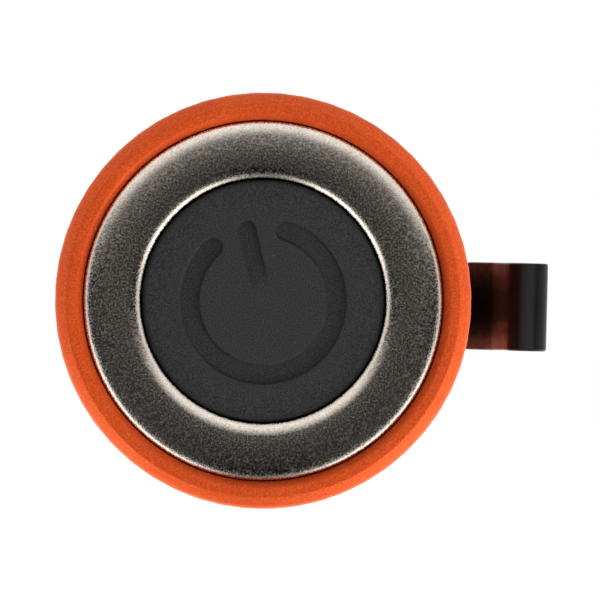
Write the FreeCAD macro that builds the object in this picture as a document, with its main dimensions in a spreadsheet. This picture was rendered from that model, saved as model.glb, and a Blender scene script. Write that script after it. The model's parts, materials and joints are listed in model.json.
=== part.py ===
import FreeCAD, Part
import math
import os
import re

import Sketcher

# Pinpointer probe. The probe lies along +Y: the flat face of the bezel ring at the
# tail is y = 0, the sensing tip points to +Y, the belt clip is on +X and +Z is up.
# Lengths are in millimetres. Each sub-part is drawn from its own rear face and put
# at its station along the axis.

doc = FreeCAD.newDocument("PinpointerProbe")
sizes = doc.addObject("Spreadsheet::Sheet", "Sizes")

SIZES = [
    # tail cap
    ("cap_station", 0.3, "rim plane behind the bezel face"),
    ("cap_length", 23.7, "rim plane to mouth"),
    ("cap_radius", 12.5, "crest of the flutes"),
    ("cap_rim_radius", 12.4, "plain collar at the rim"),
    ("cap_band_radius", 12.3, "plain band at the mouth"),
    ("cap_rim_outer", 11.8, "outer edge of the flat rim face"),
    ("cap_rim_inner", 11.27, "inner edge of the flat rim face"),
    ("cap_counterbore", 10.96, "seat of the bezel ring"),
    ("cap_web_start", 3.7, "rear face of the web"),
    ("cap_web_end", 5.2, "front face of the web"),
    ("cap_web_hole", 7.45, "hole in the web for the boot"),
    ("cap_pocket_radius", 9.6, "pocket of the switch"),
    ("cap_pocket_end", 14.7, "mouth of the switch pocket"),
    ("cap_bore_radius", 11.05, "threaded bore"),
    ("cap_groove_start", 20.3, "groove of the cap seal"),
    ("cap_groove_end", 21.4, "groove of the cap seal"),
    ("cap_groove_radius", 11.75, "bottom of the seal groove"),
    ("cap_seal_station", 21.15, "middle of the cap seal"),
    ("flute_start", 1.6, "behind the rim collar"),
    ("flute_end", 18.7, "front end of the flutes"),
    ("flute_depth", 0.35, "depth of a flute"),
    ("flute_width", 1.0, "width of a flute at the crest"),
    ("flute_count", 52, "flutes round the cap"),
    # bezel ring and button
    ("bezel_outer", 10.75, "outside of the bezel ring"),
    ("bezel_inner", 7.38, "inside of the bezel ring"),
    ("bezel_length", 4.0, "thickness of the bezel ring"),
    ("bezel_round", 0.8, "rounding of the visible edges"),
    ("button_station", 0.5, "button face"),
    ("button_radius", 7.26, "rubber pad"),
    ("button_depth", 2.0, "pad thickness"),
    ("symbol_depth", 0.3, "recess of the power symbol"),
    ("symbol_outer", 4.9, "outside of the symbol arc"),
    ("symbol_inner", 3.9, "inside of the symbol arc"),
    ("symbol_bar_width", 1.0, "width of the symbol bar"),
    ("symbol_bar_start", 0.7, "inner end of the bar"),
    ("symbol_bar_end", 4.9, "outer end of the bar"),
    ("symbol_tilt", 14.4, "lean of the symbol in degrees"),
    ("boot_station", 3.7, "rear edge of the boot skirt"),
    ("boot_skirt_outer", 7.2, "skirt outside"),
    ("boot_skirt_inner", 6.4, "skirt inside"),
    ("boot_skirt_length", 1.8, "skirt up to the flange"),
    ("boot_flange_inner", 5.6, "flange inside"),
    ("boot_flange_outer", 9.4, "flange outside"),
    ("boot_length", 3.0, "skirt and flange"),
    ("plunger_station", 2.5, "rear of the plunger"),
    ("plunger_flange", 2.8, "radius of the plunger head"),
    ("plunger_stem", 1.7, "radius of the plunger stem"),
    ("plunger_length", 6.5, "plunger length"),
    # switch
    ("carrier_station", 6.7, "rear of the switch carrier"),
    ("carrier_length", 5.3, "carrier length"),
    ("carrier_outer", 9.5, "carrier outside"),
    ("carrier_inner", 6.7, "carrier inside"),
    ("switch_station", 7.8, "rear of the switch boss"),
    ("switch_side", 9.0, "square switch body"),
    ("switch_boss_radius", 3.0, "boss round the plunger"),
    ("switch_boss_length", 1.0, "height of the boss"),
    ("switch_length", 4.2, "boss and body"),
    ("switch_well_radius", 2.1, "well of the plunger"),
    ("switch_well_depth", 2.4, "well of the plunger"),
    ("switch_board_station", 12.0, "rear of the switch board"),
    ("switch_board_radius", 9.4, "switch board"),
    ("switch_board_length", 1.2, "switch board"),
    ("retainer_station", 13.2, "rear of the retaining ring"),
    ("retainer_outer", 9.55, "retaining ring outside"),
    ("retainer_inner", 6.2, "retaining ring inside"),
    ("retainer_length", 1.8, "retaining ring"),
    ("spring_wire", 0.4, "wire radius of the cell spring"),
    ("spring_start", 13.6, "first coil"),
    ("spring_rise", 8.0, "wire centre to wire centre"),
    ("spring_turns", 4.0, "coils"),
    ("spring_base", 4.6, "coil radius at the board"),
    ("spring_top", 2.8, "coil radius at the cell"),
    # barrel
    ("barrel_station", 15.6, "rear end of the barrel"),
    ("barrel_length", 120.4, "barrel"),
    ("barrel_radius", 12.0, "barrel outside"),
    ("tail_thread_radius", 10.75, "thread for the tail cap"),
    ("tail_thread_length", 8.6, "thread for the tail cap"),
    ("cell_bore_radius", 9.5, "cell bay"),
    ("lip_start", 73.1, "inner lip, cell side"),
    ("lip_end", 74.9, "inner lip, board side"),
    ("lip_radius", 8.4, "opening of the lip"),
    ("bay_radius", 10.0, "electronics bay"),
    ("front_thread_start", 110.4, "shoulder of the front thread"),
    ("front_thread_radius", 11.2, "thread for the front collar"),
    ("grip_start", 58.4, "rear groove of the grip"),
    ("grip_end", 104.4, "front groove of the grip"),
    ("grip_groove_width", 1.2, "plain groove at each end"),
    ("grip_groove_depth", 0.5, "plain groove at each end"),
    ("clip_flat_height", 11.5, "milled flat under the clip foot"),
    ("clip_flat_start", 41.0, "flat, from the barrel's rear"),
    ("clip_flat_end", 56.2, "flat, from the barrel's rear"),
    ("clip_flat_width", 6.4, "flat across"),
    ("clip_hole_depth", 1.5, "tapped holes in the flat"),
    ("clip_hole_radius", 1.0, "tapped holes in the flat"),
    ("clip_hole_first", 46.0, "first hole, from the barrel's rear"),
    ("clip_hole_pitch", 6.5, "between the holes"),
    # belt clip
    ("clip_width", 5.3, "strip width"),
    ("clip_strip", 0.8, "strip thickness"),
    ("clip_pivot_station", 58.1, "bend of the strip"),
    ("clip_foot_height", 11.9, "middle of the strip at the foot"),
    ("clip_foot_length", 12.6, "foot along the barrel"),
    ("clip_foot_top", 13.2, "top of the fixed bend"),
    ("clip_arm_base", 13.5, "start of the springing bend"),
    ("clip_arm_height", 15.1, "middle of the strip along the arm"),
    ("clip_bump_height", 12.64, "middle of the strip at the contact bump"),
    ("clip_straight_end", 36.0, "where the arm dips"),
    ("clip_bump_station", 28.0, "contact bump"),
    ("clip_lip_station", 10.6, "where the lip starts to roll"),
    ("clip_lip_radius", 0.8, "middle radius of the rolled lip"),
    ("clip_screw_station", 61.6, "first clip screw"),
    ("clip_screw_head", 1.8, "screw head radius"),
    ("clip_screw_head_height", 0.9, "screw head height"),
    ("clip_screw_shank", 0.9, "screw shank radius"),
    ("clip_screw_shank_length", 2.0, "screw shank"),
    # 18650 cell
    ("cell_station", 22.0, "negative end of the cell"),
    ("cell_radius", 9.1, "steel can"),
    ("cell_wrap_radius", 9.2, "over the wrap"),
    ("cell_can_length", 64.0, "steel can"),
    ("cell_length", 65.2, "over the positive cap"),
    ("cell_cap_radius", 3.9, "positive cap"),
    ("cell_crimp_radius", 8.7, "crimp behind the shoulder"),
    # electronics
    ("contact_board_station", 90.5, "contact board on the lip"),
    ("contact_board_radius", 9.8, "contact board"),
    ("contact_board_length", 1.6, "contact board"),
    ("stud_station", 87.2, "face of the positive stud"),
    ("stud_nose", 1.6, "stud nose radius"),
    ("stud_base", 3.4, "stud base radius"),
    ("stud_length", 3.3, "positive stud"),
    ("sled_station", 92.1, "rear of the board sled"),
    ("sled_disc_radius", 9.7, "end disc of the sled"),
    ("sled_disc_length", 1.5, "end disc of the sled"),
    ("sled_window", 5.0, "opening of the end disc"),
    ("sled_length", 35.4, "end disc and rails"),
    ("rail_inner", 7.6, "inside of a rail"),
    ("rail_outer", 9.2, "outside of a rail"),
    ("rail_height", 4.8, "height of a rail"),
    ("sled_screw_offset", 6.6, "sled screws off the axis"),
    ("sled_screw_station", 89.5, "head of the sled screws"),
    ("board_station", 94.0, "rear edge of the main board"),
    ("board_length", 46.0, "main board"),
    ("board_half_width", 8.4, "main board"),
    ("board_half_thickness", 0.6, "main board"),
    ("slot_half_height", 0.65, "rail slot"),
    ("slot_depth_radius", 8.5, "bottom of the rail slot"),
    ("chip_side", 7.0, "controller chip"),
    ("chip_height", 1.3, "controller chip"),
    ("chip_station", 116.0, "controller chip"),
    ("amplifier_station", 125.5, "first amplifier chip"),
    ("amplifier_width", 4.0, "amplifier chip across"),
    ("amplifier_length", 3.6, "amplifier chip along"),
    ("amplifier_height", 1.4, "amplifier chip"),
    ("amplifier_pitch", 6.4, "between the amplifier chips"),
    ("capacitor_station", 118.0, "first capacitor"),
    ("capacitor_radius", 1.6, "capacitor"),
    ("capacitor_height", 4.0, "capacitor"),
    ("capacitor_pitch", 5.0, "between capacitors"),
    ("connector_station", 134.0, "coil connector"),
    ("connector_length", 5.5, "coil connector"),
    ("connector_half_width", 3.2, "coil connector"),
    ("connector_height", 4.2, "coil connector"),
    ("motor_station", 98.0, "rear of the motor can"),
    ("motor_height", 4.8, "motor axis above the board middle"),
    ("motor_radius", 2.2, "motor can"),
    ("motor_length", 11.0, "motor can"),
    ("motor_bearing", 0.6, "bearing hole of the can"),
    ("motor_bearing_depth", 2.0, "bearing hole of the can"),
    ("cradle_half_width", 2.9, "motor cradle"),
    ("cradle_clearance", 0.05, "motor cradle round the can"),
    ("cradle_length", 8.0, "motor cradle"),
    ("cradle_top", 4.0, "motor cradle top"),
    ("shaft_station", 107.3, "rear of the motor shaft"),
    ("shaft_radius", 0.4, "motor shaft"),
    ("shaft_length", 6.2, "motor shaft"),
    ("weight_station", 110.2, "rear of the eccentric weight"),
    ("weight_radius", 2.4, "eccentric weight"),
    ("weight_hub", 1.0, "hub of the weight"),
    ("weight_length", 2.8, "eccentric weight"),
    ("buzzer_station", 105.5, "middle of the buzzer"),
    ("buzzer_radius", 4.5, "buzzer"),
    ("buzzer_height", 3.2, "buzzer"),
    ("buzzer_hole", 0.9, "sound hole"),
    # nose
    ("collar_station", 126.2, "rear face of the front collar"),
    ("collar_length", 14.3, "front collar"),
    ("collar_bore", 11.5, "threaded bore of the collar"),
    ("collar_seat", 11.8, "inner face of the collar lip"),
    ("collar_lip", 10.6, "opening of the collar lip"),
    ("collar_flute_start", 1.2, "flutes of the collar"),
    ("collar_flute_end", 11.6, "flutes of the collar"),
    ("nose_station", 128.0, "rear end of the nose housing"),
    ("nose_spigot_radius", 9.85, "spigot in the barrel"),
    ("nose_flange_start", 8.0, "flange under the collar"),
    ("nose_flange_end", 10.0, "flange under the collar"),
    ("nose_flange_radius", 11.2, "flange under the collar"),
    ("nose_waist_radius", 10.2, "waist inside the collar lip"),
    ("nose_seat_start", 13.0, "rear end of the holster seat"),
    ("nose_base_radius", 10.4, "cylindrical base, holster seat"),
    ("nose_base_end", 30.0, "end of the base"),
    ("nose_step_end", 36.0, "end of the step cone"),
    ("nose_front_radius", 7.7, "slim front, rear end"),
    ("nose_tip_radius", 7.4, "slim front, front end"),
    ("nose_neck_start", 84.0, "neck under the tip cap"),
    ("nose_neck_radius", 6.9, "neck under the tip cap"),
    ("nose_length", 91.0, "nose housing"),
    ("nose_bore_radius", 8.6, "rear bore"),
    ("nose_bore_end", 28.0, "rear bore"),
    ("coil_bore_radius", 5.9, "coil chamber"),
    ("coil_bore_end", 89.0, "coil chamber"),
    ("nose_groove_start", 3.0, "groove of the nose seal"),
    ("nose_groove_end", 4.0, "groove of the nose seal"),
    ("nose_groove_radius", 9.15, "groove of the nose seal"),
    ("nose_seal_station", 131.5, "middle of the nose seal"),
    ("ruler_start", 42.0, "first ruler groove"),
    ("ruler_pitch", 10.0, "between ruler grooves"),
    ("ruler_width", 0.5, "ruler groove"),
    ("ruler_bottom", 7.2, "ruler groove bottom"),
    ("tip_station", 212.0, "rear edge of the tip cap"),
    ("tip_length", 13.0, "tip cap"),
    ("tip_bore", 7.0, "bore of the tip cap"),
    ("tip_bore_depth", 7.1, "bore of the tip cap"),
    ("tip_round", 5.5, "rounded end"),
    ("lamp_height", 8.8, "lamp above the axis"),
    ("lamp_station", 157.0, "rear of the lamp"),
    ("lamp_radius", 1.0, "lamp body"),
    ("lamp_length", 4.0, "lamp body"),
    ("lamp_hole", 1.05, "lamp hole"),
    ("lamp_leg_radius", 0.2, "lamp legs"),
    ("lamp_leg_length", 4.0, "lamp legs"),
    ("lamp_leg_height", 8.15, "lamp legs above the axis"),
    ("lamp_leg_offset", 0.4, "lamp legs off the middle"),
    # coil
    ("ferrite_station", 168.0, "ferrite rod"),
    ("ferrite_radius", 4.0, "ferrite rod"),
    ("ferrite_length", 48.0, "ferrite rod"),
    ("bobbin_station", 172.0, "coil bobbin"),
    ("bobbin_length", 40.0, "coil bobbin"),
    ("bobbin_bore", 4.05, "bobbin bore"),
    ("bobbin_core", 4.7, "bobbin core"),
    ("bobbin_flange", 5.6, "bobbin flanges"),
    ("flange_thickness", 1.0, "bobbin flanges"),
    ("bobbin_middle", 20.0, "middle flange"),
    ("transmit_radius", 5.4, "transmit winding"),
    ("receive_radius", 5.2, "receive winding"),
    ("grommet_station", 168.5, "rear coil grommet"),
    ("grommet_length", 3.0, "coil grommet"),
    ("grommet_outer", 5.85, "coil grommet"),
    ("grommet_pitch", 44.0, "between the grommets"),
    ("grommet_notch", 1.8, "half width of the wire notch"),
    # wires
    ("coil_wire", 0.3, "coil lead radius"),
    ("lamp_wire", 0.28, "lamp lead radius"),
    ("battery_wire", 0.5, "battery lead radius"),
    ("motor_wire", 0.3, "motor lead radius"),
]

for row, (alias, value, meaning) in enumerate(SIZES, start=1):
    sizes.set(f"A{row}", alias)
    sizes.set(f"B{row}", str(value))
    sizes.set(f"C{row}", meaning)
    sizes.setAlias(f"B{row}", alias)
doc.recompute()

NODES = []


def value_of(words):
    """Number an expression in sheet words stands for."""
    return float(sizes.evalExpression(words))


def spots_of(corners):
    """Points given in sheet words."""
    return [FreeCAD.Vector(value_of(x), value_of(y), 0) for x, y in corners]


def linked(words):
    """Point every size word of an expression at the spreadsheet."""
    return re.sub(r"[a-z]\w+", r"Sizes.\g<0>", words)


def bind(item, path, words):
    """Drive a property from the sheet."""
    item.setExpression(path, linked(words))


def new_body(label, station, across="", up=""):
    """Body of one sub-part, placed at its station along the axis."""
    body = doc.addObject("PartDesign::Body", label)
    body.Label = label
    for axis, words in zip("xyz", (across, station, up)):
        if words:
            bind(body, f"Placement.Base.{axis}", words)
    NODES.append(body)
    return body


def new_sketch(body, name, role, offset=""):
    """Sketch on one of the body's own origin planes."""
    plane = next(item for item in body.Origin.OriginFeatures if item.Role == role)
    sketch = body.newObject("Sketcher::SketchObject", name)
    sketch.AttachmentSupport = [(plane, "")]
    sketch.MapMode = "FlatFace"
    if offset:
        bind(sketch, "AttachmentOffset.Base.z", offset)
    return sketch


def pin_point(sketch, edge, end, across, along):
    """Hold a sketch point at a position given in sheet words."""
    for kind, axis, words in (("DistanceX", -2, across), ("DistanceY", -1, along)):
        value = value_of(words)
        if abs(value) < 1e-9:
            sketch.addConstraint(Sketcher.Constraint("PointOnObject", edge, end, axis))
            continue
        row = sketch.addConstraint(Sketcher.Constraint(kind, -1, 1, edge, end, value))
        bind(sketch, f"Constraints[{row}]", words)


def draw_outline(sketch, corners):
    """Closed outline through corners given in sheet words."""
    spots = spots_of(corners)
    count = len(spots)
    first = sketch.GeometryCount
    for index in range(count):
        following = spots[(index + 1) % count]
        sketch.addGeometry(Part.LineSegment(spots[index], following), False)
    for index in range(count):
        following = first + (index + 1) % count
        sketch.addConstraint(
            Sketcher.Constraint("Coincident", first + index, 2, following, 1))
    for index, (x, y) in enumerate(corners):
        pin_point(sketch, first + index, 1, x, y)
    return sketch


def draw_circle(sketch, across, along, radius):
    """Circle whose middle and radius follow the sheet."""
    middle = FreeCAD.Vector(value_of(across), value_of(along), 0)
    circle = Part.Circle(middle, FreeCAD.Vector(0, 0, 1), value_of(radius))
    edge = sketch.addGeometry(circle, False)
    row = sketch.addConstraint(Sketcher.Constraint("Radius", edge, value_of(radius)))
    bind(sketch, f"Constraints[{row}]", radius)
    if abs(middle.x) < 1e-9 and abs(middle.y) < 1e-9:
        sketch.addConstraint(Sketcher.Constraint("Coincident", edge, 3, -1, 1))
    else:
        pin_point(sketch, edge, 3, across, along)
    return sketch


def finish_feature(body, feature):
    """Make a new feature the tip of its body."""
    body.Tip = feature
    doc.recompute()
    return feature


def turn_sketch(body, sketch, kind="Revolution"):
    """Turn a sketch a full circle round the probe axis."""
    turn = body.newObject(f"PartDesign::{kind}", f"{sketch.Name}_turn")
    turn.Profile = sketch
    turn.ReferenceAxis = (sketch, ["V_Axis"])
    turn.Angle = 360
    return finish_feature(body, turn)


def turned(body, name, corners):
    """Turn an outline of (radius, distance along the axis) corners."""
    sketch = new_sketch(body, name, "XY_Plane")
    draw_outline(sketch, corners)
    return turn_sketch(body, sketch)


def tube(body, name, inner, outer, start, end):
    """Turned plain tube; an inner radius of "0" makes a solid disc."""
    return turned(body, name, [(inner, start), (outer, start), (outer, end), (inner, end)])


def seal_ring(body, name, middle, section):
    """O-ring: a round section turned about the axis."""
    sketch = new_sketch(body, name, "XY_Plane")
    draw_circle(sketch, middle, "0", section)
    return turn_sketch(body, sketch)


def extrude(body, sketch, length, kind="Pad", side="One side", reverse=False):
    """Pad or pocket a sketch; sketches on the XZ plane run towards -Y."""
    feature = body.newObject(f"PartDesign::{kind}", f"{sketch.Name}_{kind.lower()}")
    feature.Profile = sketch
    bind(feature, "Length", length)
    feature.SideType = side
    feature.Reversed = reverse
    return finish_feature(body, feature)


def cut(body, sketch, length, side="One side", reverse=False):
    """Pocket that is known to take material away."""
    before = body.Shape.Volume
    feature = extrude(body, sketch, length, "Pocket", side, reverse)
    if body.Shape.Volume > before - 1e-6:
        raise ValueError(f"{sketch.Name} removes nothing")
    return feature


def round_edges(body, feature, name, radius, chosen):
    """Round the edges of a feature picked by a test."""
    edges = [f"Edge{index}" for index, edge in enumerate(feature.Shape.Edges, start=1)
             if chosen(edge)]
    if not edges:
        raise ValueError(f"{name} finds no edge")
    fillet = body.newObject("PartDesign::Fillet", name)
    fillet.Base = (feature, edges)
    bind(fillet, "Radius", radius)
    return finish_feature(body, fillet)


def circle_at(radius, along):
    """Test for a full circle of this radius, this far along the axis."""
    def chosen(edge):
        curve = edge.Curve
        return (isinstance(curve, Part.Circle)
                and abs(curve.Radius - value_of(radius)) < 1e-4
                and abs(curve.Center.y - value_of(along)) < 1e-4)
    return chosen


def box_outline(half_width, low, high):
    """Corners of a rectangle across the middle line."""
    return [(f"-{half_width}", low), (half_width, low),
            (half_width, high), (f"-{half_width}", high)]


def repeat_along(body, name, features, sketch, pitch, count):
    """Repeat features along the probe axis."""
    pattern = body.newObject("PartDesign::LinearPattern", name)
    pattern.Originals = features
    pattern.Direction = (sketch, ["V_Axis"])
    pattern.Occurrences = count
    pattern.Length = value_of(pitch) * (count - 1)
    bind(pattern, "Length", f"{pitch} * {count - 1}")
    return finish_feature(body, pattern)


def mirror_sideways(body, name, features):
    """Mirror features from +X to -X."""
    plane = next(item for item in body.Origin.OriginFeatures if item.Role == "YZ_Plane")
    mirror = body.newObject("PartDesign::Mirrored", name)
    mirror.Originals = features
    mirror.MirrorPlane = (plane, [""])
    return finish_feature(body, mirror)


def cut_flutes(body, name, start, end, turn):
    """V flutes all round, parallel with the axis."""
    sketch = new_sketch(body, name, "XZ_Plane", f"-({start})")
    draw_outline(sketch, [
        ("cap_radius - flute_depth", "0"),
        ("cap_radius + 0.2", "flute_width / 2 + 0.2"),
        ("cap_radius + 0.2", "-(flute_width / 2 + 0.2)")])
    groove = cut(body, sketch, f"{end} - {start} + 0.1")
    pattern = body.newObject("PartDesign::PolarPattern", f"{name}_pattern")
    pattern.Originals = [groove]
    pattern.Axis = (turn.Profile[0], ["V_Axis"])
    pattern.Angle = 360
    bind(pattern, "Occurrences", "flute_count")
    return finish_feature(body, pattern)


# ---------------------------------------------------------------- tail cap

def make_tail_cap():
    body = new_body("tail_cap", "cap_station")
    turn = turned(body, "cap_section", [
        ("cap_rim_inner", "0"),
        ("cap_rim_outer", "0"),
        ("cap_rim_radius", "cap_rim_radius - cap_rim_outer"),
        ("cap_rim_radius", "flute_start"),
        ("cap_radius", "flute_start + 0.1"),
        ("cap_radius", "flute_end"),
        ("cap_band_radius", "flute_end + 0.2"),
        ("cap_band_radius", "cap_length - 0.4"),
        ("cap_band_radius - 0.4", "cap_length"),
        ("cap_bore_radius + 0.25", "cap_length"),
        ("cap_bore_radius", "cap_length - 0.25"),
        ("cap_bore_radius", "cap_groove_end"),
        ("cap_groove_radius", "cap_groove_end"),
        ("cap_groove_radius", "cap_groove_start"),
        ("cap_bore_radius", "cap_groove_start"),
        ("cap_bore_radius", "cap_pocket_end"),
        ("cap_pocket_radius", "cap_pocket_end"),
        ("cap_pocket_radius", "cap_web_end"),
        ("cap_web_hole", "cap_web_end"),
        ("cap_web_hole", "cap_web_start"),
        ("cap_counterbore", "cap_web_start"),
        ("cap_counterbore", "cap_rim_inner - cap_counterbore")])
    cut_flutes(body, "cap_flute", "flute_start", "flute_end", turn)


def make_bezel_ring():
    body = new_body("bezel_ring", "")
    turn = tube(body, "bezel_section", "bezel_inner", "bezel_outer", "0", "bezel_length")
    outer = circle_at("bezel_outer", "0")
    inner = circle_at("bezel_inner", "0")
    round_edges(body, turn, "bezel_rounding", "bezel_round",
                lambda edge: outer(edge) or inner(edge))


def make_power_button():
    body = new_body("power_button", "button_station")
    turn = tube(body, "pad_section", "0", "button_radius", "0", "button_depth")
    round_edges(body, turn, "pad_rounding", "0.3", circle_at("button_radius", "0"))
    arc = new_sketch(body, "symbol_arc", "XZ_Plane")
    draw_symbol_arc(arc)
    cut(body, arc, "symbol_depth")
    bar = new_sketch(body, "symbol_bar", "XZ_Plane")
    bind(bar, "AttachmentOffset.Rotation.Angle", "symbol_tilt")
    draw_outline(bar, box_outline("symbol_bar_width / 2", "symbol_bar_start",
                                  "symbol_bar_end"))
    cut(body, bar, "symbol_depth")


def draw_symbol_arc(sketch):
    """Open ring of the power symbol with a gap of 60 degrees."""
    lean = math.radians(90 + value_of("symbol_tilt"))
    half_gap = math.radians(30)
    start = lean + half_gap
    end = lean - half_gap + 2 * math.pi
    axis = FreeCAD.Vector(0, 0, 1)
    middle = FreeCAD.Vector(0, 0, 0)
    ends = []
    for words in ("symbol_outer", "symbol_inner"):
        radius = value_of(words)
        circle = Part.Circle(middle, axis, radius)
        edge = sketch.addGeometry(Part.ArcOfCircle(circle, start, end), False)
        sketch.addConstraint(Sketcher.Constraint("Coincident", edge, 3, -1, 1))
        row = sketch.addConstraint(Sketcher.Constraint("Radius", edge, radius))
        bind(sketch, f"Constraints[{row}]", words)
        ends.append([FreeCAD.Vector(radius * math.cos(turn), radius * math.sin(turn), 0)
                     for turn in (start, end)])
    for side in (0, 1):
        edge = sketch.addGeometry(Part.LineSegment(ends[0][side], ends[1][side]), False)
        sketch.addConstraint(Sketcher.Constraint("Coincident", edge, 1, 0, side + 1))
        sketch.addConstraint(Sketcher.Constraint("Coincident", edge, 2, 1, side + 1))


def make_button_boot():
    body = new_body("button_boot", "boot_station")
    turned(body, "boot_section", [
        ("boot_skirt_inner", "0"),
        ("boot_skirt_outer", "0"),
        ("boot_skirt_outer", "boot_skirt_length"),
        ("boot_flange_outer", "boot_skirt_length"),
        ("boot_flange_outer", "boot_length"),
        ("boot_flange_inner", "boot_length"),
        ("boot_flange_inner", "boot_skirt_length + 0.4"),
        ("boot_skirt_inner", "boot_skirt_length")])


def make_switch_plunger():
    body = new_body("switch_plunger", "plunger_station")
    turned(body, "plunger_section", [
        ("0", "0"),
        ("plunger_flange", "0"),
        ("plunger_flange", "1"),
        ("plunger_stem", "1.4"),
        ("plunger_stem", "plunger_length - 0.3"),
        ("plunger_stem - 0.3", "plunger_length"),
        ("0", "plunger_length")])


def make_switch_carrier():
    body = new_body("switch_carrier", "carrier_station")
    tube(body, "carrier_section", "carrier_inner", "carrier_outer", "0", "carrier_length")


def make_switch_body():
    body = new_body("switch_body", "switch_station")
    tube(body, "boss_section", "0", "switch_boss_radius", "0", "switch_boss_length")
    block = new_sketch(body, "switch_block", "XZ_Plane", "-switch_boss_length")
    draw_outline(block, box_outline("switch_side / 2", "-switch_side / 2",
                                    "switch_side / 2"))
    extrude(body, block, "switch_length - switch_boss_length", reverse=True)
    well = new_sketch(body, "switch_well", "XZ_Plane")
    draw_circle(well, "0", "0", "switch_well_radius")
    cut(body, well, "switch_well_depth")


def make_switch_board():
    body = new_body("switch_board", "switch_board_station")
    tube(body, "switch_board_section", "0", "switch_board_radius", "0",
         "switch_board_length")


def make_retaining_ring():
    body = new_body("retaining_ring", "retainer_station")
    tube(body, "retainer_section", "retainer_inner", "retainer_outer", "0",
         "retainer_length")
    notch = new_sketch(body, "spanner_notches", "XZ_Plane", "-retainer_length")
    draw_outline(notch, box_outline("1.1", "retainer_inner - 0.5", "8.3"))
    draw_outline(notch, box_outline("1.1", "-8.3", "0.5 - retainer_inner"))
    cut(body, notch, "1", reverse=True)


def make_cell_spring():
    """Conical spring: a round wire wound back from the cell, widening to the board."""
    body = new_body("cell_spring", "spring_start + spring_rise")
    section = new_sketch(body, "spring_section", "XY_Plane")
    draw_circle(section, "spring_top", "0", "spring_wire")
    coil = body.newObject("PartDesign::AdditiveHelix", "spring_coil")
    coil.Profile = section
    coil.ReferenceAxis = (section, ["V_Axis"])
    coil.Mode = "height-turns-growth"
    coil.Reversed = True
    bind(coil, "Height", "spring_rise")
    bind(coil, "Turns", "spring_turns")
    bind(coil, "Growth", "(spring_base - spring_top) / spring_turns")
    finish_feature(body, coil)


def make_cap_seal():
    body = new_body("cap_seal", "cap_seal_station")
    seal_ring(body, "cap_seal_section", "11.25", "0.45")


# ------------------------------------------------------------------ barrel

def make_barrel():
    body = new_body("barrel", "barrel_station")
    grip = "barrel_radius - grip_groove_depth"
    turned(body, "barrel_section", [
        ("cell_bore_radius", "0"),
        ("tail_thread_radius - 0.4", "0"),
        ("tail_thread_radius", "0.4"),
        ("tail_thread_radius", "tail_thread_length"),
        ("barrel_radius - 0.3", "tail_thread_length"),
        ("barrel_radius", "tail_thread_length + 0.3"),
        ("barrel_radius", "grip_start"),
        (grip, "grip_start"),
        (grip, "grip_start + grip_groove_width"),
        ("barrel_radius", "grip_start + grip_groove_width"),
        ("barrel_radius", "grip_end"),
        (grip, "grip_end"),
        (grip, "grip_end + grip_groove_width"),
        ("barrel_radius", "grip_end + grip_groove_width"),
        ("barrel_radius", "front_thread_start - 0.3"),
        ("barrel_radius - 0.3", "front_thread_start"),
        ("front_thread_radius", "front_thread_start"),
        ("front_thread_radius", "barrel_length - 0.4"),
        ("front_thread_radius - 0.4", "barrel_length"),
        ("bay_radius", "barrel_length"),
        ("bay_radius", "lip_end"),
        ("lip_radius", "lip_end"),
        ("lip_radius", "lip_start"),
        ("cell_bore_radius", "lip_start")])
    flat = new_sketch(body, "clip_flat", "XY_Plane")
    draw_outline(flat, [
        ("clip_flat_height", "clip_flat_start"),
        ("barrel_radius + 1", "clip_flat_start"),
        ("barrel_radius + 1", "clip_flat_end"),
        ("clip_flat_height", "clip_flat_end")])
    cut(body, flat, "clip_flat_width", side="Symmetric")
    holes = new_sketch(body, "clip_holes", "YZ_Plane", "clip_flat_height")
    draw_circle(holes, "clip_hole_first", "0", "clip_hole_radius")
    draw_circle(holes, "clip_hole_first + clip_hole_pitch", "0", "clip_hole_radius")
    cut(body, holes, "clip_hole_depth")


# --------------------------------------------------------------- belt clip

def bent_line(sketch, spots, radii):
    """Straight runs joined by tangent arcs, one radius for each corner."""
    start = spots[0]
    for index, radius in enumerate(radii, start=1):
        corner = spots[index]
        before = (corner - spots[index - 1]).normalize()
        after = (spots[index + 1] - corner).normalize()
        half_bend = before.getAngle(after) / 2
        arc_start = corner - before * (radius * math.tan(half_bend))
        arc_end = corner + after * (radius * math.tan(half_bend))
        inset = radius * (1 / math.cos(half_bend) - 1)
        middle = corner + (after - before).normalize() * inset
        sketch.addGeometry(Part.LineSegment(start, arc_start), False)
        sketch.addGeometry(Part.Arc(arc_start, middle, arc_end), False)
        start = arc_end
    sketch.addGeometry(Part.LineSegment(start, spots[-1]), False)
    return (spots[-1] - start).normalize()


def curl(sketch, spot, onward, radius, turn):
    """Arc that carries a line on and rolls it outwards."""
    outward = FreeCAD.Vector(-onward.y, onward.x, 0)
    centre = spot + outward * radius
    mid_way, far_end = [
        centre - outward * (radius * math.cos(angle)) + onward * (radius * math.sin(angle))
        for angle in (turn / 2, turn)]
    sketch.addGeometry(Part.Arc(spot, mid_way, far_end), False)


def all_edges(sketch):
    """Names of a path sketch's edges."""
    return [f"Edge{index + 1}" for index in range(sketch.GeometryCount)]


def sweep_strip(body, name, path, role, low, high):
    """Rectangular strip section swept along a bent path."""
    section = new_sketch(body, f"{name}_section", role)
    draw_outline(section, [
        (low, "-clip_width / 2"), (high, "-clip_width / 2"),
        (high, "clip_width / 2"), (low, "clip_width / 2")])
    sweep = body.newObject("PartDesign::AdditivePipe", f"{name}_sweep")
    sweep.Profile = section
    sweep.Spine = (path, all_edges(path))
    return finish_feature(body, sweep)


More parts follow.
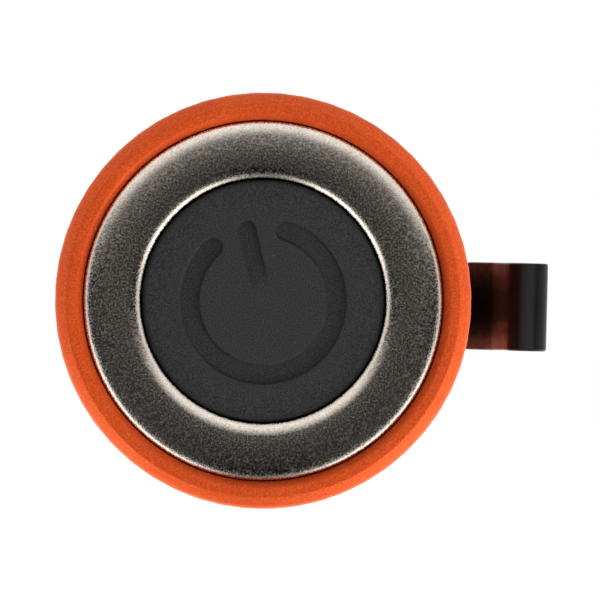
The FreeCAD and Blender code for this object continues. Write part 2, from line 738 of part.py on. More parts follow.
def make_clip_foot():
    body = new_body("clip_foot", "clip_pivot_station + clip_foot_length",
                    across="clip_foot_height")
    path = new_sketch(body, "foot_path", "XY_Plane")
    bent_line(path, spots_of([
        ("0", "0"),
        ("0", "-clip_foot_length"),
        ("clip_foot_top - clip_foot_height", "-clip_foot_length")]), [0.8])
    sweep_strip(body, "foot", path, "XZ_Plane", "-clip_strip / 2", "clip_strip / 2")
    holes = new_sketch(body, "foot_holes", "YZ_Plane", "clip_strip / 2")
    first = "clip_screw_station - clip_pivot_station - clip_foot_length"
    for along in (first, f"{first} + clip_hole_pitch"):
        draw_circle(holes, along, "0", "clip_hole_radius + 0.1")
    cut(body, holes, "clip_strip")


def make_clip_arm():
    body = new_body("clip_arm", "clip_pivot_station", across="clip_arm_base")
    path = new_sketch(body, "arm_path", "XY_Plane")
    route = spots_of([
        ("0", "0"),
        ("clip_arm_height - clip_arm_base", "0"),
        ("clip_arm_height - clip_arm_base", "clip_straight_end - clip_pivot_station"),
        ("clip_bump_height - clip_arm_base", "clip_bump_station - clip_pivot_station"),
        ("clip_arm_height - clip_arm_base", "clip_lip_station - clip_pivot_station")])
    onward = bent_line(path, route, [0.8, 6.0, 3.0])
    curl(path, route[-1], onward, value_of("clip_lip_radius"), math.radians(235))
    sweep_strip(body, "arm", path, "YZ_Plane", "-clip_strip / 2", "clip_strip / 2")


def make_clip_screws():
    """Two cap screws standing on the clip foot, driven towards the axis."""
    body = new_body("clip_screws", "clip_screw_station",
                    across="clip_foot_height + clip_strip / 2")
    shank = new_sketch(body, "screw_shank", "YZ_Plane")
    draw_circle(shank, "0", "0", "clip_screw_shank")
    shank_pad = extrude(body, shank, "clip_screw_shank_length", reverse=True)
    head = new_sketch(body, "screw_head", "YZ_Plane")
    draw_circle(head, "0", "0", "clip_screw_head")
    head_pad = extrude(body, head, "clip_screw_head_height")
    socket = new_sketch(body, "screw_socket", "YZ_Plane", "clip_screw_head_height")
    reach = "clip_screw_head * 0.5"
    draw_outline(socket, [
        (reach, "0"), (f"{reach} / 2", f"{reach} * 0.866"),
        (f"-{reach} / 2", f"{reach} * 0.866"), (f"-{reach}", "0"),
        (f"-{reach} / 2", f"-{reach} * 0.866"), (f"{reach} / 2", f"-{reach} * 0.866")])
    socket_cut = cut(body, socket, "0.5")
    guide = new_sketch(body, "screw_row", "XY_Plane")
    draw_circle(guide, "0", "0", "clip_screw_shank")
    repeat_along(body, "screw_pair", [shank_pad, head_pad, socket_cut], guide,
                 "clip_hole_pitch", 2)


# -------------------------------------------------------------------- cell

def make_cell():
    can = new_body("cell_can", "cell_station")
    turned(can, "can_section", [
        ("0", "0"),
        ("cell_radius - 0.4", "0"),
        ("cell_radius", "0.4"),
        ("cell_radius", "cell_can_length - 3"),
        ("cell_crimp_radius", "cell_can_length - 2.6"),
        ("cell_crimp_radius", "cell_can_length - 2.2"),
        ("cell_radius", "cell_can_length - 1.8"),
        ("cell_radius", "cell_can_length - 0.5"),
        ("cell_radius - 0.5", "cell_can_length"),
        ("0", "cell_can_length")])
    wrap = new_body("cell_wrap", "cell_station")
    tube(wrap, "wrap_section", "cell_radius", "cell_wrap_radius", "0.6",
         "cell_can_length - 0.6")
    top = new_body("cell_top_cap", "cell_station + cell_can_length")
    turned(top, "top_cap_section", [
        ("0", "0"),
        ("cell_cap_radius", "0"),
        ("cell_cap_radius", "0.8"),
        ("cell_cap_radius - 0.4", "cell_length - cell_can_length"),
        ("0", "cell_length - cell_can_length")])
    insulator = new_body("cell_insulator", "cell_station + cell_can_length")
    tube(insulator, "insulator_section", "cell_cap_radius + 0.3", "cell_radius - 0.9",
         "0", "0.3")


# ------------------------------------------------------------- electronics

def make_contacts():
    board = new_body("contact_board", "contact_board_station")
    tube(board, "contact_board_section", "0", "contact_board_radius", "0",
         "contact_board_length")
    holes = new_sketch(board, "contact_board_holes", "XZ_Plane")
    draw_circle(holes, "0", "sled_screw_offset", "0.9")
    draw_circle(holes, "0", "-sled_screw_offset", "0.9")
    cut(board, holes, "contact_board_length")
    stud = new_body("positive_contact", "stud_station")
    turned(stud, "stud_section", [
        ("0", "0"),
        ("stud_nose", "0"),
        ("stud_nose", "1.4"),
        ("stud_base", "1.8"),
        ("stud_base", "stud_length"),
        ("0", "stud_length")])


def make_board_sled():
    body = new_body("board_sled", "sled_station")
    tube(body, "sled_disc", "sled_window", "sled_disc_radius", "0", "sled_disc_length")
    rail = new_sketch(body, "sled_rail", "XZ_Plane", "-sled_disc_length")
    draw_outline(rail, [
        ("rail_inner", "-rail_height / 2"),
        ("rail_outer", "-rail_height / 2"),
        ("rail_outer", "rail_height / 2"),
        ("rail_inner", "rail_height / 2"),
        ("rail_inner", "slot_half_height"),
        ("slot_depth_radius", "slot_half_height"),
        ("slot_depth_radius", "-slot_half_height"),
        ("rail_inner", "-slot_half_height")])
    pad = extrude(body, rail, "sled_length - sled_disc_length", reverse=True)
    mirror_sideways(body, "rail_pair", [pad])
    holes = new_sketch(body, "sled_holes", "XZ_Plane")
    draw_circle(holes, "0", "sled_screw_offset", "0.8")
    draw_circle(holes, "0", "-sled_screw_offset", "0.8")
    cut(body, holes, "sled_disc_length")


def make_sled_screws():
    body = new_body("sled_screws", "sled_screw_station")
    for name, along in (("upper_screw", "sled_screw_offset"),
                        ("lower_screw", "-sled_screw_offset")):
        head = new_sketch(body, f"{name}_head", "XZ_Plane")
        draw_circle(head, "0", along, "1.5")
        extrude(body, head, "1", reverse=True)
        shank = new_sketch(body, f"{name}_shank", "XZ_Plane", "-1")
        draw_circle(shank, "0", along, "0.75")
        extrude(body, shank, "3", reverse=True)
        slot = new_sketch(body, f"{name}_slot", "XZ_Plane")
        draw_outline(slot, box_outline("0.2", f"{along} - 1.1", f"{along} + 1.1"))
        cut(body, slot, "0.5")


def flat_block(label, station, half_width, length, low, height, across=""):
    """Rectangular piece lying on the main board."""
    body = new_body(label, station, across=across, up=low)
    sketch = new_sketch(body, f"{label}_plan", "XY_Plane")
    draw_outline(sketch, box_outline(half_width, "0", length))
    pad = extrude(body, sketch, height)
    return body, sketch, pad


def make_main_board():
    flat_block("main_board", "board_station", "board_half_width", "board_length",
               "-board_half_thickness", "2 * board_half_thickness")
    flat_block("controller_chip", "chip_station", "chip_side / 2", "chip_side",
               "board_half_thickness", "chip_height")
    body, sketch, pad = flat_block(
        "amplifier_chips", "amplifier_station", "amplifier_width / 2", "amplifier_length",
        "board_half_thickness", "amplifier_height", across="3.2")
    pattern = body.newObject("PartDesign::LinearPattern", "amplifier_row")
    pattern.Originals = [pad]
    pattern.Direction = (sketch, ["H_Axis"])
    pattern.Reversed = True
    pattern.Occurrences = 2
    bind(pattern, "Length", "amplifier_pitch")
    finish_feature(body, pattern)
    body, sketch, pad = flat_block(
        "coil_connector", "connector_station", "connector_half_width",
        "connector_length", "board_half_thickness", "connector_height")
    key = new_sketch(body, "connector_key", "XY_Plane", "connector_height")
    draw_outline(key, box_outline("0.8", "1.5", "connector_length"))
    cut(body, key, "0.6")


def make_filter_capacitors():
    body = new_body("filter_capacitors", "capacitor_station",
                    up="-board_half_thickness")
    sketch = new_sketch(body, "capacitor_plan", "XY_Plane")
    draw_circle(sketch, "0", "0", "capacitor_radius")
    pad = extrude(body, sketch, "capacitor_height", reverse=True)
    repeat_along(body, "capacitor_row", [pad], sketch, "capacitor_pitch", 3)


def make_buzzer():
    body = new_body("buzzer", "buzzer_station", up="-board_half_thickness")
    sketch = new_sketch(body, "buzzer_plan", "XY_Plane")
    draw_circle(sketch, "0", "0", "buzzer_radius")
    extrude(body, sketch, "buzzer_height", reverse=True)
    hole = new_sketch(body, "buzzer_hole", "XY_Plane", "-buzzer_height")
    draw_circle(hole, "0", "0", "buzzer_hole")
    cut(body, hole, "0.8", reverse=True)


def make_motor():
    can = new_body("vibration_motor", "motor_station", up="motor_height")
    end = "motor_length"
    turned(can, "motor_section", [
        ("0", "0"),
        ("motor_radius", "0"),
        ("motor_radius", end),
        ("motor_bearing", end),
        ("motor_bearing", f"{end} - motor_bearing_depth"),
        ("0", f"{end} - motor_bearing_depth")])
    cradle = new_body("motor_cradle", "motor_station + 1", up="motor_height")
    block = new_sketch(cradle, "cradle_block", "XZ_Plane")
    draw_outline(block, box_outline("cradle_half_width",
                                    "board_half_thickness - motor_height",
                                    "cradle_top - motor_height"))
    extrude(cradle, block, "cradle_length", reverse=True)
    channel = new_sketch(cradle, "cradle_channel", "XZ_Plane")
    draw_circle(channel, "0", "0", "motor_radius + cradle_clearance")
    cut(cradle, channel, "cradle_length")
    shaft = new_body("motor_shaft", "shaft_station", up="motor_height")
    tube(shaft, "shaft_section", "0", "shaft_radius", "0", "shaft_length")
    weight = new_body("eccentric_weight", "weight_station", up="motor_height")
    half = new_sketch(weight, "weight_half", "XZ_Plane")
    draw_circle(half, "0", "0", "weight_radius")
    extrude(weight, half, "weight_length", reverse=True)
    away = new_sketch(weight, "weight_opening", "XZ_Plane")
    draw_outline(away, box_outline("3", "weight_hub", "3"))
    cut(weight, away, "weight_length")
    bore = new_sketch(weight, "weight_bore", "XZ_Plane")
    draw_circle(bore, "0", "0", "shaft_radius")
    cut(weight, bore, "weight_length")


# -------------------------------------------------------------------- nose

def make_front_collar():
    body = new_body("front_collar", "collar_station")
    turn = turned(body, "collar_section", [
        ("collar_bore", "0"),
        ("cap_band_radius - 0.4", "0"),
        ("cap_band_radius", "0.4"),
        ("cap_band_radius", "collar_flute_start"),
        ("cap_radius", "collar_flute_start + 0.1"),
        ("cap_radius", "collar_flute_end"),
        ("cap_band_radius", "collar_flute_end + 0.2"),
        ("cap_band_radius", "collar_length - 1.2"),
        ("cap_band_radius - 1.2", "collar_length"),
        ("collar_lip", "collar_length"),
        ("collar_lip", "collar_seat"),
        ("collar_bore", "collar_seat")])
    cut_flutes(body, "collar_flute", "collar_flute_start", "collar_flute_end", turn)


def make_nose_housing():
    body = new_body("nose_housing", "nose_station")
    turned(body, "nose_section", [
        ("nose_bore_radius", "0"),
        ("nose_spigot_radius - 0.3", "0"),
        ("nose_spigot_radius", "0.3"),
        ("nose_spigot_radius", "nose_groove_start"),
        ("nose_groove_radius", "nose_groove_start"),
        ("nose_groove_radius", "nose_groove_end"),
        ("nose_spigot_radius", "nose_groove_end"),
        ("nose_spigot_radius", "nose_flange_start"),
        ("nose_flange_radius", "nose_flange_start"),
        ("nose_flange_radius", "nose_flange_end"),
        ("nose_waist_radius", "nose_flange_end"),
        ("nose_waist_radius", "nose_seat_start - 0.2"),
        ("nose_base_radius", "nose_seat_start"),
        ("nose_base_radius", "nose_base_end"),
        ("nose_front_radius", "nose_step_end"),
        ("nose_tip_radius", "nose_neck_start"),
        ("nose_neck_radius", "nose_neck_start"),
        ("nose_neck_radius", "nose_length"),
        ("0", "nose_length"),
        ("0", "coil_bore_end"),
        ("coil_bore_radius", "coil_bore_end"),
        ("coil_bore_radius", "nose_bore_end + 2.7"),
        ("nose_bore_radius", "nose_bore_end")])
    hole = new_sketch(body, "lamp_hole", "XZ_Plane", "-(nose_bore_end - 0.5)")
    draw_circle(hole, "0", "lamp_height", "lamp_hole")
    cut(body, hole, "nose_step_end - nose_bore_end + 1")
    mark = new_sketch(body, "ruler_mark", "XY_Plane")
    draw_outline(mark, [
        ("ruler_bottom", "ruler_start - ruler_width / 2"),
        ("nose_front_radius + 0.5", "ruler_start - ruler_width / 2"),
        ("nose_front_radius + 0.5", "ruler_start + ruler_width / 2"),
        ("ruler_bottom", "ruler_start + ruler_width / 2")])
    groove = turn_sketch(body, mark, "Groove")
    repeat_along(body, "ruler", [groove], mark, "ruler_pitch", 5)


def make_nose_fittings():
    seal = new_body("nose_seal", "nose_seal_station")
    seal_ring(seal, "nose_seal_section", "9.575", "0.42")
    tip = new_body("tip_cap", "tip_station")
    turn = turned(tip, "tip_section", [
        ("tip_bore", "0"),
        ("nose_tip_radius - 0.1", "0"),
        ("nose_tip_radius - 0.1", "tip_length"),
        ("0", "tip_length"),
        ("0", "tip_bore_depth"),
        ("tip_bore", "tip_bore_depth")])
    round_edges(tip, turn, "tip_rounding", "tip_round",
                circle_at("nose_tip_radius - 0.1", "tip_length"))
    lamp = new_body("lamp", "lamp_station", up="lamp_height")
    turn = tube(lamp, "lamp_section", "0", "lamp_radius", "0", "lamp_length")
    round_edges(lamp, turn, "lamp_rounding", "0.9", circle_at("lamp_radius", "lamp_length"))
    legs = new_body("lamp_legs", "lamp_station - lamp_leg_length", up="lamp_leg_height")
    sketch = new_sketch(legs, "leg_sections", "XZ_Plane")
    draw_circle(sketch, "lamp_leg_offset", "0", "lamp_leg_radius")
    pad = extrude(legs, sketch, "lamp_leg_length", reverse=True)
    mirror_sideways(legs, "leg_pair", [pad])


# -------------------------------------------------------------------- coil

def make_coil():
    rod = new_body("ferrite_rod", "ferrite_station")
    tube(rod, "ferrite_section", "0", "ferrite_radius", "0", "ferrite_length")
    bobbin = new_body("coil_bobbin", "bobbin_station")
    wall = "flange_thickness"
    turned(bobbin, "bobbin_section", [
        ("bobbin_bore", "0"),
        ("bobbin_flange", "0"),
        ("bobbin_flange", wall),
        ("bobbin_core", wall),
        ("bobbin_core", "bobbin_middle"),
        ("bobbin_flange", "bobbin_middle"),
        ("bobbin_flange", f"bobbin_middle + {wall}"),
        ("bobbin_core", f"bobbin_middle + {wall}"),
        ("bobbin_core", f"bobbin_length - {wall}"),
        ("bobbin_flange", f"bobbin_length - {wall}"),
        ("bobbin_flange", "bobbin_length"),
        ("bobbin_bore", "bobbin_length")])
    transmit = new_body("transmit_winding", "bobbin_station")
    tube(transmit, "transmit_section", "bobbin_core", "transmit_radius", wall,
         "bobbin_middle")
    receive = new_body("receive_winding", "bobbin_station")
    tube(receive, "receive_section", "bobbin_core", "receive_radius",
         f"bobbin_middle + {wall}", f"bobbin_length - {wall}")
    grommets = new_body("coil_grommets", "grommet_station")
    ring = tube(grommets, "grommet_section", "ferrite_radius", "grommet_outer", "0",
                "grommet_length")
    notch = new_sketch(grommets, "grommet_notch", "XZ_Plane")
    draw_outline(notch, box_outline("grommet_notch", "-7", "-4.3"))
    slot = cut(grommets, notch, "grommet_length")
    repeat_along(grommets, "grommet_pair", [ring, slot], ring.Profile[0],
                 "grommet_pitch", 2)


# ------------------------------------------------------------------- wires

def lead(body, name, across, route, radius):
    """Round wire along a route of (distance along, height) points."""
    path = new_sketch(body, f"{name}_route", "YZ_Plane", across)
    spots = [FreeCAD.Vector(along, up, 0) for along, up in route]
    radii = []
    for before, corner, after in zip(spots, spots[1:], spots[2:]):
        bend = (corner - before).getAngle(after - corner)
        shorter = min(before.distanceToPoint(corner), corner.distanceToPoint(after))
        radii.append(0.45 * shorter / math.tan(bend / 2))
    bent_line(path, spots, radii)
    section = new_sketch(body, f"{name}_section", "XZ_Plane", str(-route[0][0]))
    draw_circle(section, across, str(route[0][1]), radius)
    doc.recompute()
    before = body.Shape.Volume if body.Tip else 0
    sweep = body.newObject("PartDesign::AdditivePipe", f"{name}_sweep")
    sweep.Profile = section
    sweep.Spine = (path, all_edges(path))
    finish_feature(body, sweep)
    wanted = math.pi * value_of(radius) ** 2 * path.Shape.Length
    if abs(body.Shape.Volume - before - wanted) > 0.03 * wanted:
        raise ValueError(f"{name} has the wrong volume")
    return sweep


def make_leads():
    battery = new_body("battery_leads", "sled_station")
    run = lead(battery, "battery", "2.5",
               [(0, -3.4), (1.8, -3.4), (3.8, -1.1), (7.0, -1.1)], "battery_wire")
    mirror_sideways(battery, "battery_pair", [run])
    motor = new_body("motor_leads", "motor_station")
    run = lead(motor, "motor", "0.9",
               [(0, 4.9), (-1.6, 4.9), (-2.6, 3.6), (-2.6, 2.2), (-1.6, 0.9), (0.6, 0.9)],
               "motor_wire")
    mirror_sideways(motor, "motor_pair", [run])
    lamp = new_body("lamp_leads", "connector_station + connector_length")
    run = lead(lamp, "lamp_lead", "lamp_leg_offset",
               [(0, 3.7), (3.6, 3.7), (8.4, 8.15), (13.5, 8.15)], "lamp_wire")
    mirror_sideways(lamp, "lamp_lead_pair", [run])
    coil = new_body("coil_leads", "connector_station + connector_length")
    route = [(0, 2.2), (5.0, 2.2), (13.5, -5.1), (32.5, -5.1)]
    runs = [lead(coil, "inner_lead", "0.45", route, "coil_wire"),
            lead(coil, "outer_lead", "1.3", route, "coil_wire")]
    mirror_sideways(coil, "coil_lead_pairs", runs)


def export_nodes():
    """Write every sub-part once its shape has been looked at."""
    doc.recompute()
    os.makedirs("parts", exist_ok=True)
    for item in doc.Objects:
        if "Invalid" in item.State or "Error" in item.State:
            raise ValueError(f"{item.Label}: {item.State}")
    for node in NODES:
        shape = node.Shape
        if shape.isNull() or not shape.isValid() or not shape.Solids:
            raise ValueError(f"{node.Label} has no valid solid")
        shape.exportStep(f"parts/{node.Label}.step")


make_tail_cap()
make_bezel_ring()
make_power_button()
make_button_boot()
make_switch_plunger()
make_switch_carrier()
make_switch_body()
make_switch_board()
make_retaining_ring()
make_cell_spring()
make_cap_seal()
make_barrel()
make_clip_foot()
make_clip_arm()
make_clip_screws()
make_cell()
make_contacts()
make_board_sled()
make_sled_screws()
make_main_board()
make_filter_capacitors()
make_buzzer()
make_motor()
make_front_collar()
make_nose_housing()
make_nose_fittings()
make_coil()
make_leads()
export_nodes()
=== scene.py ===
import json
import math

import bmesh
import bpy
import numpy as np
from mathutils import Matrix, Vector


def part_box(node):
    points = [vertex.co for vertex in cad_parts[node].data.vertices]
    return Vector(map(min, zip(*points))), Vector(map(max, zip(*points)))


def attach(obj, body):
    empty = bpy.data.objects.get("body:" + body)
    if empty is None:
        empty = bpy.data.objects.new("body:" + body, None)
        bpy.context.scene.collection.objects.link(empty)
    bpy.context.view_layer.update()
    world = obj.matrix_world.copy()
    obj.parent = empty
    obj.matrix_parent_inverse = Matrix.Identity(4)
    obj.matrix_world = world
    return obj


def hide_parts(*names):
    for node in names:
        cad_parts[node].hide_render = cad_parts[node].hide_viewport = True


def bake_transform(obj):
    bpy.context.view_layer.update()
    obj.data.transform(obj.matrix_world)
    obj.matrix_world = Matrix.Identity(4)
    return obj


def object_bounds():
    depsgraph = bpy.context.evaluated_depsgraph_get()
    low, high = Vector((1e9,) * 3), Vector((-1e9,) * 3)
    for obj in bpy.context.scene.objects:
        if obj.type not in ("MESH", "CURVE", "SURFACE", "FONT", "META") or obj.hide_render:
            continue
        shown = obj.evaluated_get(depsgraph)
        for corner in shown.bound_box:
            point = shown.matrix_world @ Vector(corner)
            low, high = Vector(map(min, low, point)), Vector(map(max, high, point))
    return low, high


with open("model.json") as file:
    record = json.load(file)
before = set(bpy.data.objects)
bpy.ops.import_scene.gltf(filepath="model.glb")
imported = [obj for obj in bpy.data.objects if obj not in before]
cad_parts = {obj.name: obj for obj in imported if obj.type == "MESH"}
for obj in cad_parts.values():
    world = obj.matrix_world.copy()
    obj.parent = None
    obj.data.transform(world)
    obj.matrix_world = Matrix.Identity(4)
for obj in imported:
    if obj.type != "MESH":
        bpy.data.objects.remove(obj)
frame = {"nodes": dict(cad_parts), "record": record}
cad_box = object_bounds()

# Pinpointer probe. The probe lies along +Y with its tail at y = 0, the belt clip on +X
# and +Z up. Sizes of the probe's pieces are in millimetres; the studio is in metres.
MM = 0.001


# ------------------------------------------------------------------ materials

def new_material(name):
    material = bpy.data.materials.new(name)
    material.use_nodes = True
    tree = material.node_tree
    shader = tree.nodes["Principled BSDF"]
    return material, tree, shader


def node(tree, kind, **values):
    made = tree.nodes.new(kind)
    for key, value in values.items():
        setattr(made, key, value)
    return made


def place(tree):
    """Position in the row frame, so grain keeps its real size on every piece."""
    return node(tree, "ShaderNodeTexCoord").outputs["Object"]


def noise(tree, scale, detail=3.0, rough=0.55, stretch=None):
    """Noise of `scale` features in a metre, optionally stretched along an axis."""
    source = place(tree)
    if stretch:
        mapping = node(tree, "ShaderNodeMapping")
        mapping.inputs["Scale"].default_value = stretch
        tree.links.new(source, mapping.inputs["Vector"])
        source = mapping.outputs["Vector"]
    made = node(tree, "ShaderNodeTexNoise")
    made.inputs["Scale"].default_value = scale
    made.inputs["Detail"].default_value = detail
    made.inputs["Roughness"].default_value = rough
    tree.links.new(source, made.inputs["Vector"])
    return made.outputs["Fac"]


def ramp(tree, source, stops):
    """Colour ramp through (position, colour) stops."""
    made = node(tree, "ShaderNodeValToRGB")
    elements = made.color_ramp.elements
    while len(elements) < len(stops):
        elements.new(0.5)
    for element, (position, colour) in zip(elements, stops):
        element.position = position
        element.color = (*colour, 1.0)
    tree.links.new(source, made.inputs["Fac"])
    return made.outputs["Color"]


def spread(tree, source, low, high, out_low, out_high, easing="LINEAR"):
    """Map a range of one value onto another."""
    made = node(tree, "ShaderNodeMapRange", interpolation_type=easing)
    for name, value in (("From Min", low), ("From Max", high),
                        ("To Min", out_low), ("To Max", out_high)):
        made.inputs[name].default_value = value
    tree.links.new(source, made.inputs["Value"])
    return made.outputs["Result"]


def bump(tree, shader, heights):
    """Stack bumps of (height source, strength, distance in metres)."""
    normal = None
    for source, strength, distance in heights:
        made = node(tree, "ShaderNodeBump")
        made.inputs["Strength"].default_value = strength
        made.inputs["Distance"].default_value = distance
        tree.links.new(source, made.inputs["Height"])
        if normal is not None:
            tree.links.new(normal, made.inputs["Normal"])
        normal = made.outputs["Normal"]
    tree.links.new(normal, shader.inputs["Normal"])


def edge_wear(tree, low, high):
    """One on sharp convex edges, from how pointed the mesh is."""
    geometry = node(tree, "ShaderNodeNewGeometry")
    return spread(tree, geometry.outputs["Pointiness"], low, high, 0.0, 1.0)


def mix_colour(tree, factor, first, second):
    """Blend two colours; each value is a colour, a number or a socket."""
    made = node(tree, "ShaderNodeMix", data_type="RGBA")
    for index, value in ((0, factor), (6, first), (7, second)):
        if isinstance(value, tuple):
            made.inputs[index].default_value = (*value, 1.0)
        elif isinstance(value, float):
            made.inputs[index].default_value = value
        else:
            tree.links.new(value, made.inputs[index])
    return made.outputs[2]


def orange_anodised():
    """Dyed anodised aluminium: fine bead grain with faint turning lines."""
    material, tree, shader = new_material("orange_anodised")
    grain = noise(tree, 9000, 4.0, 0.7)
    patches = noise(tree, 420, 3.0)
    lines = noise(tree, 700, 2.0, 0.5, stretch=(0.04, 9.0, 0.04))
    tone = ramp(tree, grain, [(0.34, (0.52, 0.044, 0.010)), (0.50, (0.79, 0.092, 0.022)),
                              (0.66, (1.00, 0.200, 0.044))])
    broad = ramp(tree, patches, [(0.30, (0.76, 0.080, 0.016)), (0.70, (0.90, 0.120, 0.026))])
    tree.links.new(mix_colour(tree, 0.45, tone, broad), shader.inputs["Base Color"])
    shader.inputs["Metallic"].default_value = 0.25
    shader.inputs["Specular IOR Level"].default_value = 0.5
    shader.inputs["Specular Tint"].default_value = (1.0, 0.48, 0.12, 1.0)
    tree.links.new(spread(tree, grain, 0.3, 0.7, 0.34, 0.50), shader.inputs["Roughness"])
    bump(tree, shader, [(grain, 0.55, 0.00003), (lines, 0.18, 0.00002)])
    return material


def nickel():
    """Tumbled nickel plate: bright, with a fine pebbled grain."""
    material, tree, shader = new_material("nickel")
    pebble = noise(tree, 9000, 2.0, 0.6)
    cloud = noise(tree, 900, 2.0)
    plate = ramp(tree, cloud, [(0.3, (0.80, 0.750, 0.695)), (0.7, (0.90, 0.850, 0.790))])
    pits = spread(tree, pebble, 0.32, 0.66, 0.58, 0.0)
    tree.links.new(mix_colour(tree, pits, plate, (0.16, 0.14, 0.13)),
                   shader.inputs["Base Color"])
    shader.inputs["Metallic"].default_value = 1.0
    tree.links.new(spread(tree, pebble, 0.36, 0.64, 0.10, 0.35), shader.inputs["Roughness"])
    bump(tree, shader, [(pebble, 0.50, 0.00002)])
    return material


def rubber():
    """Moulded silicone rubber: matte with a fine speckle of dust."""
    material, tree, shader = new_material("rubber_black")
    grain = noise(tree, 12000, 3.0, 0.7)
    dust = noise(tree, 2600, 2.0, 0.8)
    base = ramp(tree, grain, [(0.36, (0.007, 0.007, 0.0078)), (0.66, (0.052, 0.053, 0.055))])
    speck = spread(tree, dust, 0.70, 0.78, 0.0, 0.5)
    colour = mix_colour(tree, speck, base, (0.12, 0.12, 0.12))
    tree.links.new(colour, shader.inputs["Base Color"])
    tree.links.new(spread(tree, grain, 0.3, 0.7, 0.62, 0.80), shader.inputs["Roughness"])
    shader.inputs["Specular IOR Level"].default_value = 0.45
    bump(tree, shader, [(grain, 0.60, 0.00003)])
    return material


def gloss_black():
    """Black coat over spring steel: rubbed paler on its edges, with a painted highlight along the
    lip's crest, and duller along the arm.
    """
    material, tree, shader = new_material("clip_black")
    ripple = noise(tree, 900, 2.0)
    scuffs = noise(tree, 2200, 3.0, 0.6, stretch=(1.0, 0.12, 1.0))
    wear = edge_wear(tree, 0.56, 0.66)
    base = ramp(tree, ripple, [(0.3, (0.0045, 0.0047, 0.0055)),
                               (0.7, (0.0085, 0.0088, 0.0100))])
    split = node(tree, "ShaderNodeSeparateXYZ")
    tree.links.new(place(tree), split.inputs[0])
    along = split.outputs["Y"]
    colour = mix_colour(tree, wear, base, (0.050, 0.036, 0.030))
    # painted highlight: a paler grey band in the base colour along the crest of the rolled lip,
    # where it faces the tail
    painted_lip_highlight = spread(tree, along, 9.54 * MM, 9.64 * MM, 1.0, 0.0)
    colour = mix_colour(tree, painted_lip_highlight, colour, (0.024, 0.025, 0.028))
    tree.links.new(colour, shader.inputs["Base Color"])
    tree.links.new(spread(tree, scuffs, 0.35, 0.75, 0.34, 0.46), shader.inputs["Roughness"])
    from_lip = spread(tree, along, 10 * MM, 20 * MM, 0.0, 1.0)
    shine = ramp(tree, from_lip, [(0.0, (0.12,) * 3), (0.12, (0.14,) * 3), (0.22, (0.42,) * 3),
                                  (0.52, (0.36,) * 3), (0.72, (0.02,) * 3)])
    tree.links.new(shine, shader.inputs["Specular IOR Level"])
    bump(tree, shader, [(ripple, 0.10, 0.00003)])
    return material


def moulded(name, dark, light, rough=(0.42, 0.60), scale=5200, strength=0.45):
    """Moulded plastic with a spark-eroded grain."""
    material, tree, shader = new_material(name)
    grain = noise(tree, scale, 3.0, 0.6)
    cloud = noise(tree, 300, 2.0)
    base = ramp(tree, cloud, [(0.3, dark), (0.7, light)])
    wear = edge_wear(tree, 0.55, 0.68)
    paler = tuple(min(1.0, c * 1.6 + 0.02) for c in light)
    colour = mix_colour(tree, wear, base, paler)
    tree.links.new(colour, shader.inputs["Base Color"])
    tree.links.new(spread(tree, grain, 0.3, 0.7, *rough), shader.inputs["Roughness"])
    bump(tree, shader, [(grain, strength, 0.00004)])
    return material


def metal(name, dark, light, rough=(0.2, 0.36), stretch=(0.05, 8.0, 0.05), strength=0.2):
    """Bare or plated metal with fine tool lines."""
    material, tree, shader = new_material(name)
    lines = noise(tree, 1100, 3.0, 0.6, stretch=stretch)
    cloud = noise(tree, 260, 2.0)
    tree.links.new(ramp(tree, cloud, [(0.3, dark), (0.7, light)]), shader.inputs["Base Color"])
    shader.inputs["Metallic"].default_value = 1.0
    tree.links.new(spread(tree, lines, 0.3, 0.7, *rough), shader.inputs["Roughness"])
    bump(tree, shader, [(lines, strength, 0.00002)])
    return material


def winding():
    """Enamelled copper wire laid turn by turn."""
    material, tree, shader = new_material("copper_wire")
    wave = node(tree, "ShaderNodeTexWave", wave_type="BANDS", bands_direction="Y")
    wave.inputs["Scale"].default_value = 900
    tree.links.new(place(tree), wave.inputs["Vector"])
    stripes = wave.outputs["Fac"]
    tree.links.new(ramp(tree, stripes, [(0.0, (0.16, 0.04, 0.015)), (1.0, (0.62, 0.22, 0.09))]),
                   shader.inputs["Base Color"])
    shader.inputs["Metallic"].default_value = 0.8
    shader.inputs["Roughness"].default_value = 0.3
    bump(tree, shader, [(stripes, 0.8, 0.0001)])
    return material


def lens():
    """Clear water-white epoxy of the lamp."""
    material, tree, shader = new_material("lamp_clear")
    cloud = noise(tree, 800, 2.0)
    tree.links.new(ramp(tree, cloud, [(0.3, (0.90, 0.91, 0.86)), (0.7, (0.98, 0.98, 0.94))]),
                   shader.inputs["Base Color"])
    tree.links.new(spread(tree, cloud, 0.3, 0.7, 0.03, 0.10), shader.inputs["Roughness"])
    shader.inputs["Transmission Weight"].default_value = 0.8
    shader.inputs["IOR"].default_value = 1.5
    return material


